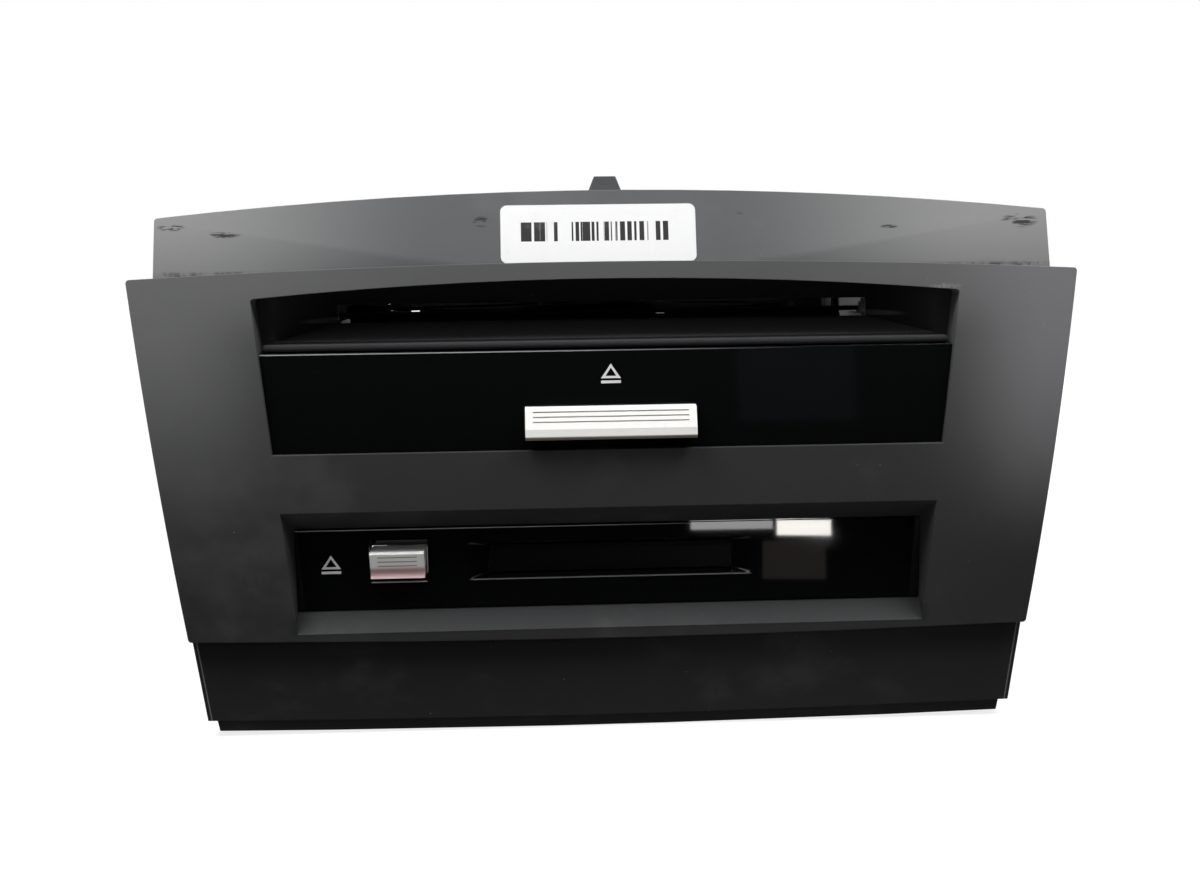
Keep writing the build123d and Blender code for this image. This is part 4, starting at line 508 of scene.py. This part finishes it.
def boardGreen():
    look = Finish("boardGreen", boardLook["base"], boardLook["roughness"])
    lane = look.cellTint(boardLook["lane"], (1, 0.22, 1), "Green")
    copper = look.rise(lane, 0.45, 0.52)
    colour = look.mix(copper * 0.6, boardLook["mask"], boardLook["lanes"])
    solder = look.rise(look.cells(boardLook["joint"]), 0.16, 0.12) * look.rise(lane, 0.3, 0.2)
    colour = look.mix(solder, colour, boardLook["solder"])
    chips = 0.0
    for node in boardLook["nodes"]:                                    # what stands on a board is black
        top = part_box(node)[0].z / mm + boardLook["thickness"] + boardLook["clear"]
        chips = chips + look.between(look.z, top, top + boardLook["tallest"], 0.005)
    chips = chips.held()
    look.feed("Base Color", look.mix(chips, colour, boardLook["chips"]))
    look.feed("Metallic", solder * 0.8 * (1 - chips))
    look.feed("Roughness", 0.28 + chips * 0.25 + look.noise(2, 3, 0.6) * 0.1)
    look.bump(copper * 0.7 + solder * 0.3, 0.02, 0.4)
    return look.material


gearLook = {"base": (0.78, 0.77, 0.72), "clean": (0.80, 0.79, 0.74), "greased": (0.55, 0.50, 0.38),
            "roughness": 0.42}


def gearWhite():
    look = Finish("gearWhite", gearLook["base"], gearLook["roughness"], Subsurface_Weight=0.05)
    grease = look.rise(look.noise(2.4, 4, 0.6), 0.55, 0.7)
    look.feed("Base Color", look.mix(grease * 0.4, gearLook["clean"], gearLook["greased"]))
    look.feed("Roughness", gearLook["roughness"] - grease * 0.22)
    look.bump(look.noise(0.4, 2, 0.6), 0.010, 0.4)
    return look.material


finishes = {
    "bezel_charcoal": bezelCharcoal(), "carrier_grey": carrierGrey(), "gloss_black": pianoBlack(),
    "silver_satin": satinSilver(), "flock_black": flockBlack(), "paper_white": labelPaper(),
    "flap_black": flapBlack(), "zinc_sheet": zincSheet(), "black_sheet": blackSheet(),
    "spring_steel": brightSteel("springSteel"), "bright_steel": brightSteel("groundSteel"),
    "screw_steel": brightSteel("screwSteel"), "motor_can": brightSteel("motorCan"),
    "rubber_black": moulded("softRubber"), "connector_black": moulded("connectorBlack"),
    "tray_plastic": moulded("trayPlastic"), "arm_alloy": moulded("castAlloy"),
    "board_green": boardGreen(), "gear_white": gearWhite(),
}
for node, obj in frame["nodes"].items():
    obj.data.materials.clear()
    obj.data.materials.append(finishes[slotOf[node]])
print("finishes made", len(finishes))


# Pieces with rounded edges, made over the moulded and folded nodes
def finished(name, mesh, node, paint=None):    # a piece in its node's finish, or in a paint of its own
    piece = bpy.data.objects.new(name, mesh)
    scene.collection.objects.link(piece)
    mesh.materials.clear()
    mesh.materials.append(paint or finishes[slotOf[node]])
    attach(piece, bodyOf[node])
    return piece


def smoothShaded(mesh, degrees):
    for face in mesh.polygons:
        face.use_smooth = True
    mesh.set_sharp_from_angle(angle=math.radians(degrees))


def meshFrom(work, name):
    mesh = bpy.data.meshes.new(name)
    work.to_mesh(mesh)
    work.free()
    return mesh


def meshOf(obj):
    graph = bpy.context.evaluated_depsgraph_get()
    shaped = obj.evaluated_get(graph)
    return bpy.data.meshes.new_from_object(shaped, preserve_all_data_layers=True, depsgraph=graph)


# The drum that the front's faces lie on, in mm
crownLook = {"radius": 400.0, "centre": 400.0, "z": 63.7, "faceY": -97.5, "panelSetback": 1.2,
             "onDrum": 0.9995, "nodes": ("face_frame", "upper_gloss_panel")}


def crownedNormals(mesh):                      # faces on the drum get its true normals, for clean reflections
    centre = Vector((0, (crownLook["faceY"] + crownLook["centre"]) * mm, crownLook["z"] * mm))
    normals = [Vector(corner.vector) for corner in mesh.corner_normals]
    for face in mesh.polygons:
        spoke = Vector((0, face.center.y - centre.y, face.center.z - centre.z)).normalized()
        if face.normal.dot(spoke) < crownLook["onDrum"]:
            continue
        for loop in face.loop_indices:
            place = mesh.vertices[mesh.loops[loop].vertex_index].co
            normals[loop] = Vector((0, place.y - centre.y, place.z - centre.z)).normalized()
    mesh.normals_split_custom_set(normals)


roundingLook = {"segments": 2, "angle": 24, "sharp": 30, "flat": 0.4, "joined": 0.001, "flatWeight": 100}


def softened(node, name, radius):
    mesh = frame["nodes"][node].data.copy()
    work = bmesh.new()
    work.from_mesh(mesh)
    bmesh.ops.remove_doubles(work, verts=work.verts, dist=roundingLook["joined"] * mm)
    bmesh.ops.dissolve_limit(work, angle_limit=math.radians(roundingLook["flat"]), verts=work.verts,
                             edges=work.edges)
    work.to_mesh(mesh)
    work.free()
    smoothShaded(mesh, roundingLook["sharp"])
    draft = bpy.data.objects.new(name + "Draft", mesh)
    scene.collection.objects.link(draft)
    edge = draft.modifiers.new("edge", "BEVEL")
    edge.width = radius * mm
    edge.segments = roundingLook["segments"]
    edge.limit_method = "ANGLE"
    edge.angle_limit = math.radians(roundingLook["angle"])
    edge.use_clamp_overlap = True
    edge.miter_outer = "MITER_ARC"
    weight = draft.modifiers.new("weight", "WEIGHTED_NORMAL")
    weight.mode = "FACE_AREA"
    weight.weight = roundingLook["flatWeight"]
    smooth = meshOf(draft)
    bpy.data.objects.remove(draft)
    if node in crownLook["nodes"]:
        crownedNormals(smooth)
    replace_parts(finished(name, smooth, node), node)


roundedEdges = {                               # the piece made over each node, and its edges' radius in mm
    "face_frame": ("bezel", 0.45), "carrier": ("carrierShell", 0.35),
    "upper_gloss_panel": ("upperGlossPanel", 0.6), "lower_gloss_panel": ("lowerGlossPanel", 0.3),
    "recess_liner": ("flockedRecess", 0.3), "card_button": ("cardButton", 0.1),
    "card_flap": ("cardFlap", 0.2), "top_cover": ("topCover", 0.3),
    "module_tray": ("moduleTray", 0.25), "bracket_left": ("bracketLeft", 0.35),
    "bracket_right": ("bracketRight", 0.35), "stud_bush": ("studBush", 0.3), "rear_stud": ("rearStud", 0.25),
    "rear_connectors": ("rearConnectors", 0.25), "card_cage": ("cardCage", 0.2),
}
for node, (name, radius) in roundedEdges.items():
    softened(node, name, radius)
print("edges rounded", len(roundedEdges))


# Eject marks printed on the gloss panels
def crownedY(z):                               # y of the upper panel's face, in mm
    fall = math.sqrt((crownLook["radius"] - crownLook["panelSetback"]) ** 2 - (z - crownLook["z"]) ** 2)
    return crownLook["faceY"] + crownLook["centre"] - fall


def flatY(z):
    return markLook["lowerFaceY"]


def ejectMark(name, centre, surfaceY, node):
    x, z = centre
    half, height, line = markLook["halfWidth"], markLook["height"], markLook["line"]
    low = z + markLook["bar"] / 2 + markLook["gap"] - 0.5 * height + markLook["lift"]
    slant = math.hypot(half, height) / half
    inset = line * (slant + height / half) * markLook["corner"]
    inner = [(-half + inset, low + line), (half - inset, low + line), (0, low + height - line * slant)]
    outer = [(-half, low), (half, low), (0, low + height)]
    barTop = low - markLook["gap"]
    barBottom = barTop - markLook["bar"]
    bar = [(-half, barBottom), (half, barBottom), (half, barTop), (-half, barTop)]
    work = bmesh.new()

    def point(place):
        y = surfaceY(place[1]) - markLook["proud"]
        return work.verts.new(((x + place[0]) * mm, y * mm, place[1] * mm))

    outerRim, innerRim = [[point(place) for place in corners] for corners in (outer, inner)]
    for index in range(3):
        following = (index + 1) % 3
        work.faces.new((outerRim[index], outerRim[following], innerRim[following], innerRim[index]))
    work.faces.new([point(place) for place in bar])
    ends = bmesh.ops.extrude_face_region(work, geom=work.faces[:])["geom"]
    for vertex in (item for item in ends if isinstance(item, bmesh.types.BMVert)):
        vertex.co.y += markLook["proud"] * mm
    bmesh.ops.recalc_face_normals(work, faces=work.faces)
    finished(name, meshFrom(work, name), node, markPaint)


markPaint = markWhite()
ejectMark("ejectMarkUpper", markLook["upper"], crownedY, "upper_gloss_panel")
ejectMark("ejectMarkLower", markLook["lower"], flatY, "lower_gloss_panel")
print("marks printed")


# Screws with a domed head and a cross recess, in mm
screwLook = {"sides": 32, "head": 1.6, "dome": 0.55, "recess": 1.5, "slot": 0.42, "depth": 0.8, "taper": 0.7,
             "profile": ((1, 1), (0.93, 0.55), (0.78, 0.2), (0.62, 0)), "shank": 1.4, "tip": 1.25,
             "shankSides": 20, "clear": 0.02, "same": 0.01, "sharp": 32}


def loosePieces(obj):                          # each separate solid of a node as its low and high corner
    mesh = obj.data
    parent = list(range(len(mesh.vertices)))
    keys = {}
    for index, vertex in enumerate(mesh.vertices):
        key = tuple(round(part, 6) for part in vertex.co)
        parent[index] = keys.setdefault(key, index)

    def root(index):
        while parent[index] != index:
            parent[index] = parent[parent[index]]
            index = parent[index]
        return index

    for edge in mesh.edges:
        first, second = root(edge.vertices[0]), root(edge.vertices[1])
        parent[first] = second
    groups = {}
    for index, vertex in enumerate(mesh.vertices):
        groups.setdefault(root(index), []).append(vertex.co)
    for points in groups.values():
        low = Vector([min(point[axis] for point in points) for axis in range(3)])
        high = Vector([max(point[axis] for point in points) for axis in range(3)])
        yield low, high


def crossScrew(work, base, direction, radius):
    # a head that stands on base and points along direction, with a cross sunk in its dome
    across = direction.orthogonal().normalized()
    turn = Matrix((across, direction.cross(across), direction)).transposed().to_4x4()
    place = Matrix.Translation(base) @ turn
    sides, height, dome = screwLook["sides"], screwLook["head"] * mm, screwLook["dome"] * mm
    slot, reach, depth = screwLook["slot"] * mm, screwLook["recess"] * mm, screwLook["depth"] * mm
    rings = [(radius, 0.0)] + [(share * radius, height - drop * dome) for share, drop in screwLook["profile"]]
    angles = [math.tau * step / sides for step in range(sides)]
    rows = []
    for out, up in rings:
        points = [Vector((out * math.cos(angle), out * math.sin(angle), up)) for angle in angles]
        rows.append([work.verts.new(place @ point) for point in points])
    for lower, upper in zip(rows, rows[1:]):
        for step in range(sides):
            following = (step + 1) % sides
            work.faces.new((lower[step], lower[following], upper[following], upper[step]))
    work.faces.new(list(reversed(rows[0])))
    corners = []                               # the cross has twelve corners, three to a quarter turn
    for quarter in range(4):
        spin = Matrix.Rotation(math.radians(90) * quarter, 4, "Z")
        corners += [spin @ Vector((reach, -slot, height)), spin @ Vector((reach, slot, height)),
                    spin @ Vector((slot, slot, height))]
    narrow = screwLook["taper"]
    rim = [work.verts.new(place @ corner) for corner in corners]
    well = [work.verts.new(place @ Vector((narrow * corner.x, narrow * corner.y, corner.z - depth)))
            for corner in corners]
    count = len(rim)
    for index in range(count):
        following = (index + 1) % count
        work.faces.new((rim[following], rim[index], well[index], well[following]))
    work.faces.new(well)
    top = rows[-1]
    edges = [work.edges.get((top[step], top[(step + 1) % sides])) for step in range(sides)]
    edges += [work.edges.get((rim[index], rim[(index + 1) % count])) for index in range(count)]
    bmesh.ops.triangle_fill(work, use_beauty=True, use_dissolve=False, edges=edges)


def makeScrews():
    head = screwLook["head"] * mm
    work = bmesh.new()
    for low, high in loosePieces(frame["nodes"]["screws"]):
        size, centre = high - low, (low + high) / 2
        axis = 0 if abs(size.y - size.z) < screwLook["same"] * mm else 1
        outward = Vector((0, 0, 0))
        outward[axis] = (1 if centre.x > 0 else -1) if axis == 0 else 1
        headRadius = max(size[(axis + 1) % 3], size[(axis + 2) % 3]) / 2
        end = centre + outward * size[axis] / 2
        crossScrew(work, end - outward * head, outward, headRadius)
        shank = centre - outward * head / 2
        turn = outward.to_track_quat("Z", "Y").to_matrix().to_4x4()
        length = size[axis] - head - screwLook["clear"] * mm
        bmesh.ops.create_cone(work, cap_ends=True, segments=screwLook["shankSides"], depth=length,
                              radius1=screwLook["tip"] * mm, radius2=screwLook["shank"] * mm,
                              matrix=Matrix.Translation(shank) @ turn)
    bmesh.ops.recalc_face_normals(work, faces=work.faces)
    mesh = meshFrom(work, "crossScrews")
    smoothShaded(mesh, screwLook["sharp"])
    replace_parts(finished("crossScrews", mesh, "screws"), "screws")


makeScrews()


# Springs made as pieces of their own: the piece, its joint and the share of its length that is kept
springs = {"eject_bar_spring": ("barLeafSpring", "eject_bar_push", 0.66),
           "card_button_spring": ("buttonCoilSpring", "card_button_push", 0.56)}
for node, (name, joint, keep) in springs.items():
    piece = finished(name, frame["nodes"][node].data.copy(), node)
    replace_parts(piece, node)
    low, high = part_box(node)
    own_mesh(piece)
print("screws and springs made")


# Camera at the photograph's place, in mm and degrees
cameraLook = {"place": (-14.6, -377.9, 106.9), "yaw": -2.48, "pitch": -7.88, "roll": 0.75, "field": 50.0,
              "sensor": 36.0, "nearest": 10}
camera = bpy.data.objects.new("camera", bpy.data.cameras.new("camera"))
scene.collection.objects.link(camera)
yaw = Matrix.Rotation(math.radians(cameraLook["yaw"]), 4, "Z")
pitch = Matrix.Rotation(math.radians(cameraLook["pitch"]), 4, "X")
roll = Matrix.Rotation(math.radians(cameraLook["roll"]), 4, "Y")
upright = Matrix.Rotation(math.radians(90), 4, "X")                    # from looking down to looking along +Y
camera.matrix_world = Matrix.Translation(Vector(cameraLook["place"]) * mm) @ yaw @ pitch @ roll @ upright
camera.data.sensor_fit = "HORIZONTAL"
camera.data.sensor_width = cameraLook["sensor"]
camera.data.lens = cameraLook["sensor"] / 2 / math.tan(math.radians(cameraLook["field"] / 2))
camera.data.clip_start = cameraLook["nearest"] * mm
scene.camera = camera


# Floor and surroundings, in metres: white to the camera, and to reflections dark in front of the unit
floorLook = {"size": 6.0, "drop": 0.00005, "colour": 0.30, "glow": 0.80, "mirrored": 0.6, "far": (2.0, 0.35),
             "pale": (12.0, 1.5)}
skyLook = {"sky": 0.11, "front": 0.004, "behind": 0.35, "above": 0.30, "behindRise": (3.0, 0.3),
           "aboveRise": (3.0, 0.6)}


def floorFinish():
    material = bpy.data.materials.new("floorPale")
    material.use_nodes = True
    graph = Graph(material.node_tree)
    graph.tree.nodes.remove(graph.tree.nodes["Principled BSDF"])
    place = graph.add("ShaderNodeTexCoord", {}, {}, "Object")
    y = graph.add("ShaderNodeSeparateXYZ", {}, {0: place}, "Y")
    steep, start = floorLook["far"]
    far = (y * steep - start).held()                                   # no horizon behind the unit
    steep, start = floorLook["pale"]
    pale = (y * steep + start).held()                                  # reflections see no floor in front
    seen, mirrored = graph.rays()
    seen = seen * (floorLook["glow"] + far * (1.0 - floorLook["glow"]))
    strength = seen + mirrored * pale * floorLook["mirrored"]
    matte = graph.add("ShaderNodeBsdfDiffuse", {}, {"Color": (*[floorLook["colour"]] * 3, 1)})
    glow = graph.add("ShaderNodeEmission", {}, {"Strength": strength})
    both = graph.add("ShaderNodeAddShader", {}, {0: matte, 1: glow})
    # the matte part drops out of reflections
    shader = graph.add("ShaderNodeMixShader", {}, {0: mirrored, 1: both, 2: glow})
    graph.plug(graph.tree.nodes["Material Output"], {"Surface": shader})
    return material


def layFloor():
    span = floorLook["size"]
    mesh = bpy.data.meshes.new("floor")
    corners = [(-span, -span, 0), (span, -span, 0), (span, span, 0), (-span, span, 0)]
    mesh.from_pydata(corners, [], [(0, 1, 2, 3)])
    mesh.materials.append(floorFinish())
    floor = bpy.data.objects.new("floor", mesh)
    floor.location.z = -floorLook["drop"]
    scene.collection.objects.link(floor)
    floor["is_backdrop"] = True


def makeSurroundings():
    world = bpy.data.worlds.new("surroundings")
    scene.world = world
    world.use_nodes = True
    graph = Graph(world.node_tree)
    direction = graph.add("ShaderNodeTexCoord", {}, {}, "Generated")
    y = graph.add("ShaderNodeSeparateXYZ", {}, {0: direction}, "Y")
    steep, start = skyLook["behindRise"]
    behind = (y * steep - start).held()                                # pale behind the unit, dark before it
    steep, start = skyLook["aboveRise"]
    above = (graph.other(y, "Z") * steep - start).held()
    seen, mirrored = graph.rays()
    room = skyLook["front"] + (behind * skyLook["behind"]).most(above * skyLook["above"])
    light = mirrored * room + (1 - mirrored) * skyLook["sky"]
    graph.plug(graph.tree.nodes["Background"], {"Color": (1, 1, 1, 1), "Strength": seen + (1 - seen) * light})


layFloor()
makeSurroundings()


# Lamps light the unit, and cards show only in the gloss panels: metres and watts
lamps = {"overheadLeft": {"place": (-0.24, -0.25, 0.56), "target": (-0.06, -0.06, 0.06), "size": (0.30, 0.20),
                          "power": 2.7, "tint": (1, 1, 1), "glossy": 1.0},
         "overheadRight": {"place": (0.28, -0.25, 0.56), "target": (0.07, -0.06, 0.06), "size": (0.30, 0.20),
                           "power": 2.5, "tint": (1, 1, 1), "glossy": 1.0},
         "leftFill": {"place": (-0.8, -0.7, 0.5), "target": (0, 0, 0.06), "size": (0.6, 0.6), "power": 0.8,
                      "tint": (0.95, 0.97, 1.0), "glossy": 0.3},
         "rearRight": {"place": (0.7, 0.8, 0.6), "target": (0, 0, 0.05), "size": (0.6, 0.6), "power": 2.2,
                       "tint": (1, 1, 1), "glossy": 1.0}}
cards = {"lowerGleam": {"place": (0.0671, -0.200, 0.022), "target": (0.050, -0.0895, 0.040),
                        "size": (0.017, 0.005), "power": 0.0045, "tint": (1.0, 0.97, 0.92), "glossy": 1.0},
         "lowerGleamEdge": {"place": (0.0440, -0.200, 0.0235), "target": (0.040, -0.0895, 0.040),
                            "size": (0.026, 0.003), "power": 0.0012, "tint": (1, 1, 1), "glossy": 1.0},
         "lowerBloom": {"place": (0.0640, -0.200, 0.0115), "target": (0.050, -0.0895, 0.040),
                        "size": (0.020, 0.012), "power": 0.00015, "tint": (1.0, 0.85, 0.80), "glossy": 1.0},
         "upperBloom": {"place": (0.20, -0.90, 0.05), "target": (0.05, -0.097, 0.078), "size": (0.10, 0.17),
                        "power": 0.0022, "tint": (0.75, 0.85, 1.0), "glossy": 1.0}}


def lamp(name, values):
    data = bpy.data.lights.new(name, "AREA")
    data.shape = "RECTANGLE"
    data.size, data.size_y = values["size"]
    data.energy = values["power"]
    data.color = values["tint"]
    data.specular_factor = values["glossy"]
    obj = bpy.data.objects.new(name, data)
    scene.collection.objects.link(obj)
    place, target = Vector(values["place"]), Vector(values["target"])
    obj.location = place
    obj.rotation_euler = (target - place).to_track_quat("-Z", "Y").to_euler()
    return obj


for name, values in lamps.items():
    lamp(name, values)
for name, values in cards.items():
    shown = lamp(name, values)
    shown.visible_camera = False
    shown.visible_diffuse = False
scene.view_settings.view_transform = "Standard"
print("stage set")

low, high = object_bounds()
